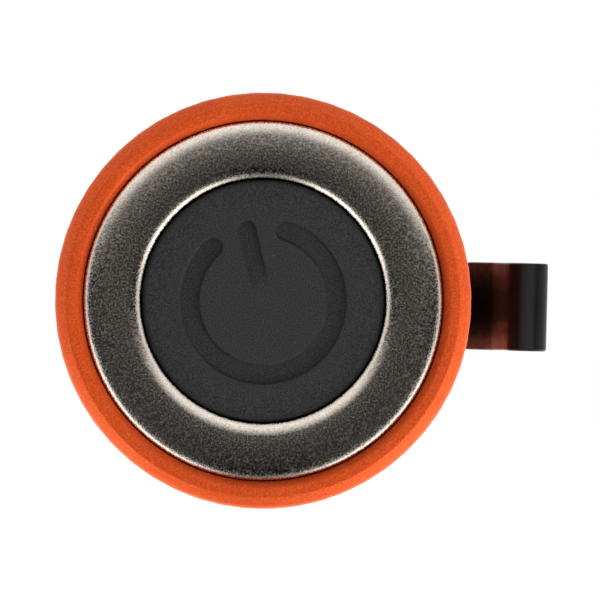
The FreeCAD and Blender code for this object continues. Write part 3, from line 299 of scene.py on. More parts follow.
MATERIALS = {
    "orange_anodised": orange_anodised(),
    "nickel": nickel(),
    "rubber_black": rubber(),
    "clip_black": gloss_black(),
    "nylon_black": moulded("nylon_black", (0.018, 0.018, 0.019), (0.028, 0.028, 0.030)),
    "nylon_grey": moulded("nylon_grey", (0.11, 0.11, 0.115), (0.16, 0.16, 0.17)),
    "plastic_white": moulded("plastic_white", (0.70, 0.69, 0.65), (0.80, 0.79, 0.76),
                             rough=(0.30, 0.42), strength=0.15),
    "brass_plain": metal("brass_plain", (0.62, 0.42, 0.16), (0.76, 0.55, 0.24)),
    "copper_wire": winding(),
    "spring_steel": metal("spring_steel", (0.52, 0.52, 0.50), (0.68, 0.68, 0.66)),
    "screw_steel": metal("screw_steel", (0.05, 0.05, 0.052), (0.09, 0.09, 0.095),
                         rough=(0.28, 0.42), stretch=(2.0, 2.0, 2.0)),
    "steel_can": metal("steel_can", (0.56, 0.56, 0.56), (0.70, 0.70, 0.69)),
    "cell_green": moulded("cell_green", (0.02, 0.16, 0.17), (0.03, 0.20, 0.22),
                          rough=(0.14, 0.24), scale=1500, strength=0.1),
    "board_green": moulded("board_green", (0.010, 0.10, 0.035), (0.016, 0.15, 0.055),
                           rough=(0.22, 0.34), scale=2600, strength=0.15),
    "chip_black": moulded("chip_black", (0.016, 0.016, 0.017), (0.026, 0.026, 0.028)),
    "ferrite": moulded("ferrite", (0.030, 0.030, 0.034), (0.055, 0.055, 0.060),
                       rough=(0.5, 0.7), scale=3500, strength=0.5),
    "lamp_clear": lens(),
    "lead_red": moulded("lead_red", (0.34, 0.020, 0.016), (0.44, 0.030, 0.024),
                        strength=0.12),
    "lead_yellow": moulded("lead_yellow", (0.60, 0.36, 0.03), (0.72, 0.46, 0.05),
                           strength=0.12),
    "seal_red": moulded("seal_red", (0.30, 0.022, 0.015), (0.38, 0.030, 0.022),
                        rough=(0.4, 0.55), strength=0.1),
}
SLOT_OF = {part["node"]: part["material_slot"] for part in frame["record"]["subparts"]}


# -------------------------------------------------------------------- meshes

def new_piece(name, verts, faces, slot, sharp=35.0):
    """Mesh object from points in millimetres, with its material and slot."""
    mesh = bpy.data.meshes.new(name)
    mesh.from_pydata([tuple(v) for v in np.asarray(verts) * MM], [], faces)
    mesh.update()
    tidy = bmesh.new()
    tidy.from_mesh(mesh)
    bmesh.ops.remove_doubles(tidy, verts=tidy.verts, dist=1e-7)
    bmesh.ops.dissolve_degenerate(tidy, edges=tidy.edges, dist=1e-7)
    bmesh.ops.recalc_face_normals(tidy, faces=tidy.faces)
    tidy.to_mesh(mesh)
    tidy.free()
    mesh.shade_smooth()
    mesh.set_sharp_from_angle(angle=math.radians(sharp))
    obj = bpy.data.objects.new(name, mesh)
    bpy.context.scene.collection.objects.link(obj)
    mesh.materials.append(MATERIALS[slot])
    return obj


def grid_faces(rows, columns, closed_rows=False):
    """Quads over a grid whose columns go all the way round."""
    faces = []
    last = rows if closed_rows else rows - 1
    for i in range(last):
        j = (i + 1) % rows
        for k in range(columns):
            n = (k + 1) % columns
            faces.append((i * columns + k, i * columns + n, j * columns + n, j * columns + k))
    return faces


def lathe(name, outline, slot, columns=256, shape=None, sharp=35.0):
    """Turn a closed outline of (radius, distance along) points round the axis.

    shape(radius, along, angles) may return other radii for a row.
    """
    angles = np.arange(columns) * (2 * math.pi / columns)
    rows = []
    for radius, along in outline:
        radii = shape(radius, along, angles) if shape else None
        if radii is None:
            radii = np.full(columns, float(radius))
        rows.append(np.stack([radii * np.cos(angles), np.full(columns, float(along)),
                              radii * np.sin(angles)], axis=1))
    return new_piece(name, np.concatenate(rows), grid_faces(len(rows), columns, True),
                     slot, sharp)


def arc(centre, radius, start, end, steps):
    """Points of an arc in (radius, along) space; angles in degrees."""
    turn = np.radians(np.linspace(start, end, steps + 1))
    return [(centre[0] + radius * math.cos(t), centre[1] + radius * math.sin(t)) for t in turn]


def soften(corners, steps=4):
    """Round the corners of a closed outline of (radius, along, rounding) corners."""
    points = [Vector(corner[:2]) for corner in corners]
    made = []
    for index, point in enumerate(points):
        before = points[index - 1] - point
        after = points[(index + 1) % len(points)] - point
        reach = min(corners[index][2], before.length * 0.45, after.length * 0.45)
        if reach < 0.01:
            made.append((point.x, point.y))
            continue
        first = point + before.normalized() * reach
        last = point + after.normalized() * reach
        for step in range(steps + 1):
            t = step / steps
            spot = first * (1 - t) ** 2 + point * (2 * t * (1 - t)) + last * t ** 2
            made.append((spot.x, spot.y))
    return made


def subdivide(outline, pitch, where):
    """Add rows along the straight run of an outline where `where(point)` holds."""
    made = []
    for index, point in enumerate(outline):
        made.append(point)
        following = outline[(index + 1) % len(outline)]
        if where(point) and where(following):
            steps = int(abs(following[1] - point[1]) / pitch)
            for step in range(1, steps):
                t = step / steps
                made.append((point[0] + (following[0] - point[0]) * t,
                             point[1] + (following[1] - point[1]) * t))
    return made


def finish_piece(obj, body, *nodes):
    """Seat a piece on its body in place of CAD nodes."""
    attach(obj, body)
    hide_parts(*nodes)
    return obj


def cut_with(obj, cutter):
    """Take a closed cutter mesh out of a piece."""
    modifier = obj.modifiers.new("cut", "BOOLEAN")
    modifier.operation = "DIFFERENCE"
    modifier.solver = "EXACT"
    modifier.object = cutter
    bpy.context.view_layer.update()
    evaluated = obj.evaluated_get(bpy.context.evaluated_depsgraph_get())
    mesh = bpy.data.meshes.new_from_object(evaluated)
    obj.modifiers.clear()
    old = obj.data
    obj.data = mesh
    bpy.data.meshes.remove(old)
    bpy.data.objects.remove(cutter)
    mesh.set_sharp_from_angle(angle=math.radians(35))


def box_cutter(low, high):
    """Closed box between two corners, in millimetres."""
    (x0, y0, z0), (x1, y1, z1) = low, high
    verts = [(x, y, z) for x in (x0, x1) for y in (y0, y1) for z in (z0, z1)]
    faces = [(0, 1, 3, 2), (4, 6, 7, 5), (0, 4, 5, 1), (2, 3, 7, 6), (0, 2, 6, 4), (1, 5, 7, 3)]
    return new_piece("cutter", verts, faces, "nylon_black")


def rod_cutter(centre, radius, length, sides=48):
    """Closed rod along y from a centre point, in millimetres."""
    turn = np.arange(sides) * (2 * math.pi / sides)
    verts = [(centre[0] + radius * math.cos(t), centre[1] + end, centre[2] + radius * math.sin(t))
             for end in (0.0, length) for t in turn]
    faces = grid_faces(2, sides)
    faces.append(tuple(range(sides)))
    faces.append(tuple(range(2 * sides - 1, sides - 1, -1)))
    return new_piece("cutter", verts, faces, "nylon_black")


# ------------------------------------------------------------------ tail cap

FLUTES = 52
FLUTE_DEPTH = 0.35
BAND_STEP = 0.2
THREAD_PITCH = 1.5
THREAD_ROW = 0.12
HAIR = 1e-6


def flute_profile(angles, half_share):
    """Depth of V flutes round a grip, each cut `half_share` of the spacing either side."""
    phase = (angles * FLUTES / (2 * math.pi)) % 1.0
    away = np.minimum(phase, 1.0 - phase)
    return FLUTE_DEPTH * np.clip(1.0 - away / half_share, 0.0, 1.0) ** 1.15


def thread_wave(along, angles):
    """Rounded thread ridge, one turn each pitch, 0 in the root to 1 on the crest."""
    phase = (along / THREAD_PITCH + angles / (2 * math.pi)) % 1.0
    ridge = 1.0 - np.abs(phase - 0.5) * 2.0
    return np.clip(ridge * 1.6 - 0.3, 0.0, 1.0)


def make_tail_cap():
    """Fluted cap with the ring's counterbore, the switch bore, thread and seal groove."""
    low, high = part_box("tail_cap")
    face, end, crest = low.y / MM, high.y / MM, high.z / MM
    rim, band = crest - 0.02, crest - BAND_STEP
    bore, groove, switch_bore, pad_hole, ring_bore = 11.05, 11.75, 9.6, 7.45, 10.96
    ring_lip, lip_outer, rim_inner = 10.83, 11.24, 11.80
    flute_start, flute_end = face + 1.6, face + 18.7
    thread_start, thread_end = face + 15.1, face + 19.9
    groove_start, groove_end = face + 20.3, face + 21.4
    ring_seat, switch_start, switch_end = face + 3.7, face + 5.2, face + 14.7
    ridge = 0.12

    def on_thread(point):
        return abs(point[0] - bore) < HAIR and thread_start - HAIR <= point[1] <= thread_end + HAIR

    outline = soften([
        (lip_outer, face, 0.08), (rim_inner, face, 0.07), (rim, face + 0.6, 0.30),
        (rim, flute_start, 0.04), (crest, flute_start + 0.12, 0.05), (crest, flute_end, 0.06),
        (band, flute_end + 0.2, 0.05), (band, end - 0.4, 0.12), (band - 0.4, end, 0.1),
        (bore + 0.25, end, 0.05), (bore, end - 0.25, 0.05), (bore, groove_end, 0.03),
        (groove, groove_end, 0.08), (groove, groove_start, 0.08), (bore, groove_start, 0.03),
        (bore, thread_end, 0), (bore, thread_start, 0), (bore, switch_end, 0.05),
        (switch_bore, switch_end, 0.1), (switch_bore, switch_start, 0.1),
        (pad_hole, switch_start, 0.1), (pad_hole, ring_seat, 0.1), (ring_bore, ring_seat, 0.1),
        (ring_bore, face + 0.6, 0.05), (ring_lip, face + 0.34, 0.04)])
    outline = subdivide(outline, THREAD_ROW, on_thread)

    def shape(radius, along, angles):
        if radius > band + 0.02 and flute_start + 0.02 <= along <= flute_end + 0.05:
            return radius - flute_profile(angles, 0.26)
        if abs(radius - bore) < HAIR and thread_start <= along <= thread_end:
            return bore - ridge * thread_wave(along, angles)
        return None

    piece = lathe("Tail_cap", outline, "orange_anodised", FLUTES * 16, shape, sharp=28.0)
    finish_piece(piece, "tail_cap", "tail_cap")


def make_bezel_ring():
    """Tumbled ring: slightly crowned face that rolls over into soft edges."""
    low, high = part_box("bezel_ring")
    outer, back = high.x / MM, high.y / MM
    inner, back_rounding, edge = 7.38, 0.3, 0.15
    roll_out, roll_in = 0.98, 0.76
    face_in, face_out = inner + roll_in, outer - roll_out
    peak = face_in + 0.3 * (face_out - face_in)
    crown, dish = 0.12, 0.05

    def lean(radius):
        """Sine of the face's tilt away from the tail direction, outward positive."""
        if radius > face_out:
            return crown + 0.64 * ((radius - face_out) / roll_out) ** 1.6
        if radius > peak:
            return crown * (radius - peak) / (face_out - peak)
        if radius > face_in:
            return -dish * (peak - radius) / (peak - face_in)
        return -dish - 0.72 * (face_in - radius) / roll_in

    radii = np.linspace(inner, outer, 141)
    slopes = np.array([lean(r) / math.sqrt(1 - lean(r) ** 2) for r in radii])
    rises = (slopes[1:] + slopes[:-1]) / 2 * np.diff(radii)
    depth = np.concatenate([[0.0], np.cumsum(rises)])
    depth -= depth.min()
    outline = [(float(r), float(d)) for r, d in zip(radii, depth)]
    outline += [(outer, depth[-1] + edge)]
    outline += arc((outer - back_rounding, back - back_rounding), back_rounding, 0, 90, 6)
    outline += arc((inner + back_rounding, back - back_rounding), back_rounding, 90, 180, 6)
    outline += [(inner, depth[0] + edge)]
    piece = lathe("Bezel_ring", outline, "nickel", 512, sharp=60.0)
    finish_piece(piece, "tail_cap", "bezel_ring")


# -------------------------------------------------------------- rubber button

SYMBOL_TILT = math.radians(14.4)
SYMBOL_RADIUS = 4.42
SYMBOL_HALF_WIDTH = 0.56
SYMBOL_HALF_GAP = math.radians(30)
SYMBOL_DEPTH = 0.34
BAR_TOP, BAR_BOTTOM, BAR_FADE = 4.95, 0.6, 1.9


def smooth_edge(distance, width):
    """One inside, nought outside, turning over `width`."""
    t = np.clip(0.5 - distance / width, 0.0, 1.0)
    return t * t * (3 - 2 * t)


def symbol_depth(x, z):
    """Depth of the recessed power symbol at a point of the pad."""
    across = x * math.cos(SYMBOL_TILT) + z * math.sin(SYMBOL_TILT)
    up = -x * math.sin(SYMBOL_TILT) + z * math.cos(SYMBOL_TILT)
    end_x = SYMBOL_RADIUS * math.sin(SYMBOL_HALF_GAP)
    end_up = SYMBOL_RADIUS * math.cos(SYMBOL_HALF_GAP)
    to_arc = np.abs(np.hypot(across, up) - SYMBOL_RADIUS)
    to_end = np.hypot(np.abs(across) - end_x, up - end_up)
    in_arc = np.abs(np.arctan2(across, up)) > SYMBOL_HALF_GAP
    ring = smooth_edge(np.where(in_arc, to_arc, to_end) - SYMBOL_HALF_WIDTH, 0.15)
    nearest = np.clip(up, BAR_BOTTOM, BAR_TOP - SYMBOL_HALF_WIDTH)
    to_bar = np.hypot(across, up - nearest) - SYMBOL_HALF_WIDTH
    fade = np.clip((up - BAR_BOTTOM) / BAR_FADE, 0.0, 1.0)
    bar = smooth_edge(to_bar + 0.03, 0.14) * fade * fade * (3 - 2 * fade)
    return SYMBOL_DEPTH * np.maximum(ring, bar)


def make_button_boot():
    """One moulding: pad with the symbol, folded skirt and clamped flange."""
    pad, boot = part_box("power_button"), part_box("button_boot")
    face, radius = pad[0].y / MM, pad[1].x / MM
    flange_start, flange_end = boot[0].y / MM + 1.8, boot[1].y / MM
    flange_outer, flange_inner, skirt_outer, skirt_inner = 9.4, 5.6, 7.2, 6.4
    rounding, columns = 0.32, 640
    flat, back = radius - rounding, face + 2.0
    angles = np.arange(columns) * (2 * math.pi / columns)
    rows = []
    for r in np.concatenate([[0.02], np.linspace(0.08, flat, 170)]):
        x, z = r * np.cos(angles), r * np.sin(angles)
        dimple = 0.06 * np.exp(-(r / 0.18) ** 2)
        crown = 0.05 * (r / flat) ** 6
        rows.append(np.stack([x, face + symbol_depth(x, z) + dimple + crown, z], axis=1))
    side = arc((flat, face + 0.05 + rounding), rounding, -90, 0, 8)[1:]
    side += [(radius, face + 1.2), (radius, face + 1.9), (radius - 0.06, face + 2.05),
             # the fold that lets the pad move
             (6.95, face + 2.35), (6.82, face + 2.7), (6.95, face + 3.1), (7.16, face + 3.5),
             (skirt_outer, face + 3.9), (skirt_outer, flange_start - 0.12),
             # the flange
             (skirt_outer + 0.1, flange_start), (flange_outer - 0.1, flange_start),
             (flange_outer, flange_start + 0.1), (flange_outer, flange_end - 0.1),
             (flange_outer - 0.1, flange_end), (flange_inner + 0.1, flange_end),
             (flange_inner, flange_end - 0.1), (flange_inner, flange_start + 0.5),
             (5.9, flange_start + 0.1),
             # back up inside the skirt to the underside of the pad
             (skirt_inner, flange_start - 0.2), (skirt_inner, face + 3.5),
             (6.15, face + 3.0), (6.1, face + 2.6), (6.0, face + 2.1), (5.8, back),
             (3.2, back), (3.0, back), (0.02, back)]
    for r, along in side:
        rows.append(np.stack([r * np.cos(angles), np.full(columns, along),
                              r * np.sin(angles)], axis=1))
    faces = grid_faces(len(rows), columns)
    faces.append(tuple(range(columns)))
    last = (len(rows) - 1) * columns
    faces.append(tuple(range(last + columns - 1, last - 1, -1)))
    piece = new_piece("Button_boot", np.concatenate(rows), faces, "rubber_black", sharp=50.0)
    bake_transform(piece)
    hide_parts("power_button", "button_boot")


# -------------------------------------------------------------------- barrel

KNURLS_ROUND = 54
KNURL_COLUMNS = 8
KNURL_DEPTH = 0.34


def make_barrel():
    """Tube with the tail thread, two grip grooves, a diamond grip and the clip's flat."""
    low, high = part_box("barrel")
    start, end, crest = low.y / MM, high.y / MM, high.z / MM
    bore, lip, bay, thread, front_thread = 9.5, 8.4, 10.0, 10.75, 11.2
    groove, shoulder = 11.5, 11.7
    tail_end, front = start + 8.6, start + 110.4
    grip_start, grip_end, groove_width = start + 58.4, start + 104.4, 1.2
    knurl_start, knurl_end = grip_start + 1.3, grip_end - 0.1
    thread_end, thread_depth = start + 4.4, 0.5
    lip_start, lip_end = start + 73.1, start + 74.9
    outline = soften([
        (bore, start, 0.05), (thread - 0.4, start, 0.05), (thread, start + 0.4, 0.05),
        (thread, thread_end + 0.3, 0), (thread, tail_end, 0.05), (shoulder, tail_end, 0.05),
        (crest, tail_end + 0.3, 0.08), (crest, grip_start, 0.08), (groove, grip_start, 0.06),
        (groove, grip_start + groove_width, 0.06), (crest, grip_start + groove_width, 0.08),
        (crest, grip_end, 0.08), (groove, grip_end, 0.06),
        (groove, grip_end + groove_width, 0.06), (crest, grip_end + groove_width, 0.08),
        (crest, front - 0.3, 0.1), (shoulder, front, 0.05), (front_thread, front, 0.05),
        (front_thread, end - 0.4, 0.05), (front_thread - 0.4, end, 0.05), (bay, end, 0.05),
        (bay, lip_end, 0.05), (lip, lip_end, 0.05), (lip, lip_start, 0.05),
        (bore, lip_start, 0.05)])
    pitch = 2 * math.pi * crest / KNURLS_ROUND

    def on_knurl(point):
        return abs(point[0] - crest) < HAIR and grip_start + 1.0 < point[1] < grip_end + 0.1

    def on_thread(point):
        return abs(point[0] - thread) < HAIR and start + 0.3 < point[1] < thread_end + 0.4

    outline = subdivide(outline, pitch / KNURL_COLUMNS, on_knurl)
    outline = subdivide(outline, THREAD_ROW, on_thread)

    def shape(radius, along, angles):
        if on_knurl((radius, along)) and knurl_start < along < knurl_end:
            turns = angles * KNURLS_ROUND / (2 * math.pi)
            rise = along / pitch
            ease = min(1.0, (along - knurl_start) / 0.5, (knurl_end - along) / 0.5)
            right_hand = np.abs(((turns + rise) % 1.0) - 0.5) * 2
            left_hand = np.abs(((turns - rise) % 1.0) - 0.5) * 2
            peak = np.minimum(right_hand, left_hand)
            return crest - KNURL_DEPTH * ease * (1.0 - np.clip(peak * 1.7, 0, 1))
        if on_thread((radius, along)):
            ease = min(1.0, max(0.0, (along - start - 0.3) / 0.5),
                       max(0.0, (thread_end + 0.3 - along) / 0.5))
            return thread - thread_depth * ease * (1.0 - thread_wave(along, angles))
        return None

    piece = lathe("Barrel", outline, "orange_anodised", KNURLS_ROUND * KNURL_COLUMNS, shape,
                  sharp=30.0)
    flat_start, flat_end, flat_half_width = start + 41.0, start + 56.2, 3.2
    cut_with(piece, box_cutter((groove, flat_start, -flat_half_width),
                               (crest + 1.0, flat_end, flat_half_width)))
    finish_piece(piece, "probe", "barrel")


def make_front_collar():
    """Fluted ring nut that holds the nose in the barrel."""
    low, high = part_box("front_collar")
    start, end, crest = low.y / MM, high.y / MM, high.z / MM
    band, bore, nose_hole = crest - BAND_STEP, 11.5, 10.6
    flute_start, flute_end, shoulder = start + 1.2, start + 11.6, start + 11.8
    outline = soften([
        (bore, start, 0.05), (band - 0.4, start, 0.1), (band, start + 0.4, 0.1),
        (band, flute_start, 0.03), (crest, flute_start + 0.12, 0.05), (crest, flute_end, 0.05),
        (band, flute_end + 0.2, 0.05), (band, end - 1.2, 0.15), (band - 1.2, end, 0.12),
        (nose_hole, end, 0.1), (nose_hole, shoulder, 0.05), (bore, shoulder, 0.05)])

    def shape(radius, along, angles):
        if radius > band + 0.02 and flute_start + 0.02 <= along <= flute_end + 0.05:
            return radius - flute_profile(angles, 0.34)
        return None

    piece = lathe("Front_collar", outline, "orange_anodised", FLUTES * 12, shape, sharp=28.0)
    finish_piece(piece, "probe", "front_collar")


# ---------------------------------------------------------------------- nose

def make_nose():
    """Stepped nylon nose with mark grooves and the lamp's hole."""
    low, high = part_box("nose_housing")
    start, end = low.y / MM, high.y / MM
    spigot, seal_groove, flange, body, barrel = 9.85, 9.15, 11.2, 10.2, 10.4
    slim, front, mark_floor, neck_radius, bore, mouth = 7.7, 7.4, 7.2, 6.9, 5.9, 8.6
    taper_start, neck = start + 36.0, start + 84.0
    outline = [
        (mouth, start, 0.05), (spigot - 0.3, start, 0.05), (spigot, start + 0.3, 0.05),
        (spigot, start + 3.0, 0.05), (seal_groove, start + 3.0, 0.05),
        (seal_groove, start + 4.0, 0.05), (spigot, start + 4.0, 0.05),
        (spigot, start + 8.0, 0.05), (flange, start + 8.0, 0.05), (flange, start + 10.0, 0.05),
        (body, start + 10.0, 0.05), (body, start + 12.8, 0.05), (barrel, start + 13.0, 0.1),
        (barrel, start + 30.0, 1.6), (slim, taper_start, 2.4)]
    for mark in range(5):
        along = start + 42.0 + 10.0 * mark
        skin = slim - (slim - front) * (along - taper_start) / (neck - taper_start)
        outline += [(skin, along - 0.35, 0.08), (mark_floor, along - 0.2, 0.05),
                    (mark_floor, along + 0.2, 0.05), (skin, along + 0.35, 0.08)]
    outline += [
        (front, neck, 0.15), (neck_radius, neck, 0.05), (neck_radius, end, 0.1), (0.02, end, 0),
        (0.02, start + 89.0, 0), (bore, start + 89.0, 0.05), (bore, start + 30.7, 0.05),
        (mouth, start + 28.0, 0.05)]
    piece = lathe("Nose_housing", soften(outline, steps=6), "nylon_black", sharp=30.0)
    lamp_low, lamp_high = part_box("lamp")
    height = (lamp_low.z + lamp_high.z) / 2 / MM
    cut_with(piece, rod_cutter((0, start + 27.5, height), 1.05, 9.5))
    finish_piece(piece, "probe", "nose_housing")


def make_tip_cap():
    """Domed wear cap with a shallow groove behind its dome."""
    low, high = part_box("tip_cap")
    start, end, radius = low.y / MM, high.y / MM, high.x / MM
    bore, floor, groove = 7.0, start + 7.1, radius - 0.16
    outline = [(bore, start + 0.1), (bore + 0.1, start), (radius - 0.12, start),
               (radius, start + 0.12), (radius, start + 1.2), (groove, start + 1.4),
               (groove, start + 1.7), (radius, start + 1.9)]
    flat, dome = 1.8, 5.8
    for step in range(25):
        t = math.pi / 2 * step / 24
        outline.append((flat + (radius - flat) * math.cos(t) ** 0.92,
                        end - dome + dome * math.sin(t)))
    outline += [(0.9, end), (0.02, end), (0.02, floor), (bore - 0.1, floor),
                (bore, floor - 0.1)]
    piece = lathe("Tip_cap", outline, "nylon_grey", sharp=40.0)
    finish_piece(piece, "probe", "tip_cap")


def make_lamp():
    """Clear domed lamp with its moulded rim."""
    low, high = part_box("lamp")
    start, end, radius, axis = low.y / MM, high.y / MM, 1.0, 0.02
    dome = end - radius
    outline = [(axis, start), (radius - 0.05, start), (radius, start + 0.05), (radius, dome)]
    for step in range(13):
        t = math.pi / 2 * step / 12
        outline.append((axis + (radius - axis) * math.cos(t), dome + radius * math.sin(t)))
    piece = lathe("Lamp", outline, "lamp_clear", 64, sharp=60.0)
    piece.location = (0, 0, (low.z + high.z) / 2)
    finish_piece(piece, "probe", "lamp")


# ---------------------------------------------------------------------- clip

def bent_line(points, radii, step=0.12):
    """Straight runs joined by arcs: the sampled spots and the last direction."""
    spots = [Vector(p) for p in points]
    line = []
    start = spots[0]
    for index, radius in enumerate(radii, start=1):
        corner = spots[index]
        before = (corner - spots[index - 1]).normalized()
        after = (spots[index + 1] - corner).normalized()
        half = before.angle(after) / 2
        reach = radius * math.tan(half)
        first, last = corner - before * reach, corner + after * reach
        line += straight(start, first, step * 6)
        centre = corner + (after - before).normalized() * (radius / math.cos(half))
        count = max(6, int(2 * half * radius / step))
        arm = first - centre
        sign = 1 if before.x * after.y > before.y * after.x else -1
        for i in range(count):
            line.append(centre + Matrix.Rotation(sign * 2 * half * i / count, 2) @ arm)
        start = last
    line += straight(start, spots[-1], step * 6)
    return line, (spots[-1] - start).normalized()


def straight(first, last, step):
    """Evenly spaced spots from one point up to, but not at, another."""
    count = max(2, int((last - first).length / step))
    return [first.lerp(last, i / count) for i in range(count)]


def make_clip():
    """One bent strip from the foot to the rolled lip."""
    foot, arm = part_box("clip_foot"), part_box("clip_arm")
    half, corner, half_width = 0.4, 0.16, arm[1].z / MM
    foot_x, foot_end = foot[0].x / MM + half, foot[1].y / MM
    bend_y, height, bump_x, bump_y, lip_y, lip_radius = 58.1, 15.1, 12.64, 28.0, 10.6, 0.8
    line, onward = bent_line(
        [(foot_x, foot_end), (foot_x, bend_y), (height, bend_y), (height, 36.0),
         (bump_x, bump_y), (height, lip_y)], [0.8, 0.8, 6.0, 3.0])
    outward = Vector((-onward.y, onward.x))
    centre = Vector((height, lip_y)) + outward * lip_radius
    for step in range(41):
        turn = math.radians(235) * step / 40
        line.append(centre - outward * (lip_radius * math.cos(turn))
                    + onward * (lip_radius * math.sin(turn)))
    section = []
    for side_x, side_z, first in ((1, 1, 0), (-1, 1, 90), (-1, -1, 180), (1, -1, 270)):
        for step in range(5):
            t = math.radians(first + 90 * step / 4)
            section.append((side_x * (half - corner) + corner * math.cos(t),
                            side_z * (half_width - corner) + corner * math.sin(t)))
    verts = []
    for index, spot in enumerate(line):
        ahead = line[min(index + 1, len(line) - 1)]
        behind = line[max(index - 1, 0)]
        along = (ahead - behind).normalized()
        verts += [(spot.x + along.y * out, spot.y - along.x * out, z) for out, z in section]
    size = len(section)
    faces = grid_faces(len(line), size)
    faces.append(tuple(range(size)))
    faces.append(tuple(range(len(verts) - 1, len(verts) - size - 1, -1)))
    piece = new_piece("Belt_clip", verts, faces, "clip_black", sharp=40.0)
    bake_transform(piece)
    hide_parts("clip_foot", "clip_arm")


def make_clip_screws():
    """Two domed cap screws with hexagon sockets."""
    low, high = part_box("clip_screws")
    head, shank, socket, sides = 1.8, 0.9, 0.85, 48
    seat = low.x / MM + 2.0
    turn = np.arange(sides) * (2 * math.pi / sides)
    hexagon = socket / np.maximum(np.cos((turn % (math.pi / 3)) - math.pi / 6), 0.5) * 0.87
    verts, faces = [], []
    for along in (low.y / MM + head, high.y / MM - head):
        rows = []
        for r, x in ((0.02, seat - 2.0), (shank - 0.1, seat - 2.0), (shank, seat - 1.9),
                     (shank, seat), (head - 0.08, seat), (head, seat + 0.08),
                     (head, seat + 0.5), (head - 0.08, seat + 0.72), (1.45, seat + 0.86),
                     (1.2, seat + 0.9)):
            rows.append([(x, along + r * math.cos(t), r * math.sin(t)) for t in turn])
        for scale, x in ((1.08, seat + 0.9), (1.0, seat + 0.84), (1.0, seat + 0.42),
                         (0.02, seat + 0.36)):
            rows.append([(x, along + h * scale * math.cos(t), h * scale * math.sin(t))
                         for t, h in zip(turn, hexagon)])
        offset = len(verts)
        verts += [v for row in rows for v in row]
        screw = grid_faces(len(rows), sides)
        screw.append(tuple(range(sides)))
        last_row = (len(rows) - 1) * sides
        screw.append(tuple(range(last_row + sides - 1, last_row - 1, -1)))
        faces += [tuple(i + offset for i in face) for face in screw]
    piece = new_piece("Clip_screws", verts, faces, "screw_steel")
    finish_piece(piece, "probe", "clip_screws")


make_tail_cap()
make_bezel_ring()
make_button_boot()
make_barrel()
make_front_collar()
make_nose()
make_tip_cap()
make_lamp()
make_clip()
make_clip_screws()

# the CAD pieces that no finer piece stands in for
for name, obj in frame["nodes"].items():
    if obj.hide_render:
        continue
    if not obj.data.materials:
        obj.data.materials.append(None)
    for index in range(len(obj.data.materials)):
        obj.data.materials[index] = MATERIALS[SLOT_OF[name]]


# --------------------------------------------------------------------- stage

def make_floor():
    """Matt white table, lit a little from beneath."""
    material, tree, shader = new_material("floor")
    shader.inputs["Base Color"].default_value = (0.32, 0.32, 0.318, 1.0)
    shader.inputs["Roughness"].default_value = 0.9
    shader.inputs["Specular IOR Level"].default_value = 0.0
    shader.inputs["Emission Color"].default_value = (1.0, 1.0, 1.0, 1.0)
    shader.inputs["Emission Strength"].default_value = 1.0
    mesh = bpy.data.meshes.new("floor")
    reach, height = 6.0, cad_box[0].z - 0.02 * MM
    mesh.from_pydata([(-reach, -reach, height), (reach, -reach, height),
                      (reach, reach, height), (-reach, reach, height)], [], [(0, 1, 2, 3)])
    mesh.materials.append(material)
    floor = bpy.data.objects.new("floor", mesh)
    bpy.context.scene.collection.objects.link(floor)
    # the tail reflects the dim front of the studio, and low lights shine up through the table
    floor.visible_glossy = False
    floor.visible_shadow = False
    floor.visible_diffuse = False


DEGREES = math.pi / 180


def studio_world():
    """Soft studio seen by reflections: dark round the camera, open above and behind.

    Polar angles are from the tail direction, bearings are from straight up.
    """
    world = bpy.data.worlds.new("studio")
    bpy.context.scene.world = world
    world.use_nodes = True
    world.cycles_visibility.diffuse = False
    tree = world.node_tree
    background = tree.nodes["Background"]
    split = node(tree, "ShaderNodeSeparateXYZ")
    tree.links.new(node(tree, "ShaderNodeTexCoord").outputs["Generated"], split.inputs[0])
    toward_x, toward_y, toward_z = split.outputs

    def maths(operation, *values):
        made = node(tree, "ShaderNodeMath", operation=operation)
        for socket, value in zip(made.inputs, values):
            if isinstance(value, (int, float)):
                socket.default_value = value
            else:
                tree.links.new(value, socket)
        return made.outputs[0]

    def mixed(factor, first, second):
        made = node(tree, "ShaderNodeMix", data_type="FLOAT")
        tree.links.new(factor, made.inputs[0])
        tree.links.new(first, made.inputs[2])
        if isinstance(second, float):
            made.inputs[3].default_value = second
        else:
            tree.links.new(second, made.inputs[3])
        return made.outputs[0]

    def fade(source, first, last, start, end):
        return spread(tree, source, first * DEGREES, last * DEGREES, start, end, "SMOOTHSTEP")

    polar = maths("ARCCOSINE", maths("MULTIPLY", toward_y, -1.0))
    bearing = maths("ABSOLUTE", maths("ARCTAN2", toward_x, toward_z))
    low_front = fade(polar, 100, 125, 0.0, 1.0)
    straight_down = fade(bearing, 148, 172, 1.0, 0.12)
    low_corners = fade(bearing, 94, 122, 1.0, 2.3)
    side = maths("MULTIPLY", fade(polar, 56, 84, 0.028, 1.30),
                 maths("MAXIMUM", straight_down, low_front))
    side = maths("MULTIPLY", side, low_corners)
    above = fade(polar, 0, 62, 0.030, 1.25)
    seen = node(tree, "ShaderNodeLightPath").outputs["Is Camera Ray"]
    strength = mixed(fade(bearing, 44, 80, 1.0, 0.0), side, above)
    tree.links.new(mixed(seen, strength, 1.0), background.inputs["Strength"])
    tint = mix_colour(tree, seen, (1.0, 0.955, 0.90), (1.0, 1.0, 1.0))
    tree.links.new(tint, background.inputs["Color"])


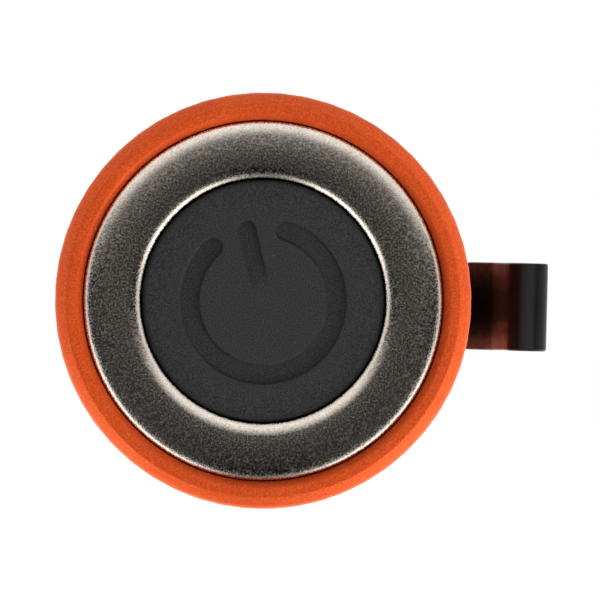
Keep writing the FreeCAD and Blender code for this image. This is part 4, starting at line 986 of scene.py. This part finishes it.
def area_light(name, spot, aim, size, power):
    """Square light that matt surfaces receive and mirrors don't show."""
    data = bpy.data.lights.new(name, "AREA")
    data.size = size
    data.energy = power
    data.color = (1.0, 0.985, 0.965)
    light = bpy.data.objects.new(name, data)
    bpy.context.scene.collection.objects.link(light)
    light.location = spot
    light.rotation_mode = "QUATERNION"
    light.rotation_quaternion = (Vector(aim) - Vector(spot)).to_track_quat("-Z", "Y")
    light.visible_camera = False
    light.visible_glossy = False


make_floor()
studio_world()
# broad lights for matt surfaces; what shines is lit by the studio above.
# Each has its place, the point along the probe it aims at, its side and its power.
for name, spot, along, size, power in (
        ("front", (0.20, -1.30, 0.0), 0.05, 0.9, 7.6),
        ("low_right", (0.75, -0.42, -0.52), 0.05, 0.5, 7.6),
        ("low_left", (-0.70, -0.30, -0.70), 0.05, 0.6, 3.6),
        ("overhead", (-0.1, 0.30, 1.10), 0.05, 1.2, 4.0),
        ("left", (-1.10, 0.10, 0.35), 0.05, 0.9, 2.0),
        ("right", (1.10, 0.25, 0.45), 0.05, 0.9, 2.0),
        ("back", (0.1, 1.40, 0.45), 0.15, 1.0, 9.0)):
    area_light(name, spot, (0, along, 0), size, power)


# -------------------------------------------------------------------- camera

# the view's width, how far its middle is right of and above the probe's axis, in millimetres
VIEW_WIDTH = 35.97
AIM_RIGHT, AIM_UP = 2.212, 0.048
DISTANCE = 2.6
ROLL = math.radians(1.4)

camera_data = bpy.data.cameras.new("camera")
camera_data.sensor_width = 36.0
camera_data.lens = DISTANCE * camera_data.sensor_width / (VIEW_WIDTH * MM)
camera_data.clip_start, camera_data.clip_end = 0.05, 30.0
camera = bpy.data.objects.new("camera", camera_data)
bpy.context.scene.collection.objects.link(camera)
# the object appears turned clockwise, so the camera is turned the other way
right = Vector((math.cos(ROLL), 0, math.sin(ROLL)))
up = Vector((-math.sin(ROLL), 0, math.cos(ROLL)))
back = Vector((0, -1, 0))
camera.matrix_world = Matrix((
    (right.x, up.x, back.x, 0), (right.y, up.y, back.y, 0), (right.z, up.z, back.z, 0),
    (0, 0, 0, 1)))
camera.location = right * AIM_RIGHT * MM + up * AIM_UP * MM + back * DISTANCE
bpy.context.scene.camera = camera
bpy.context.scene.view_settings.view_transform = "Standard"
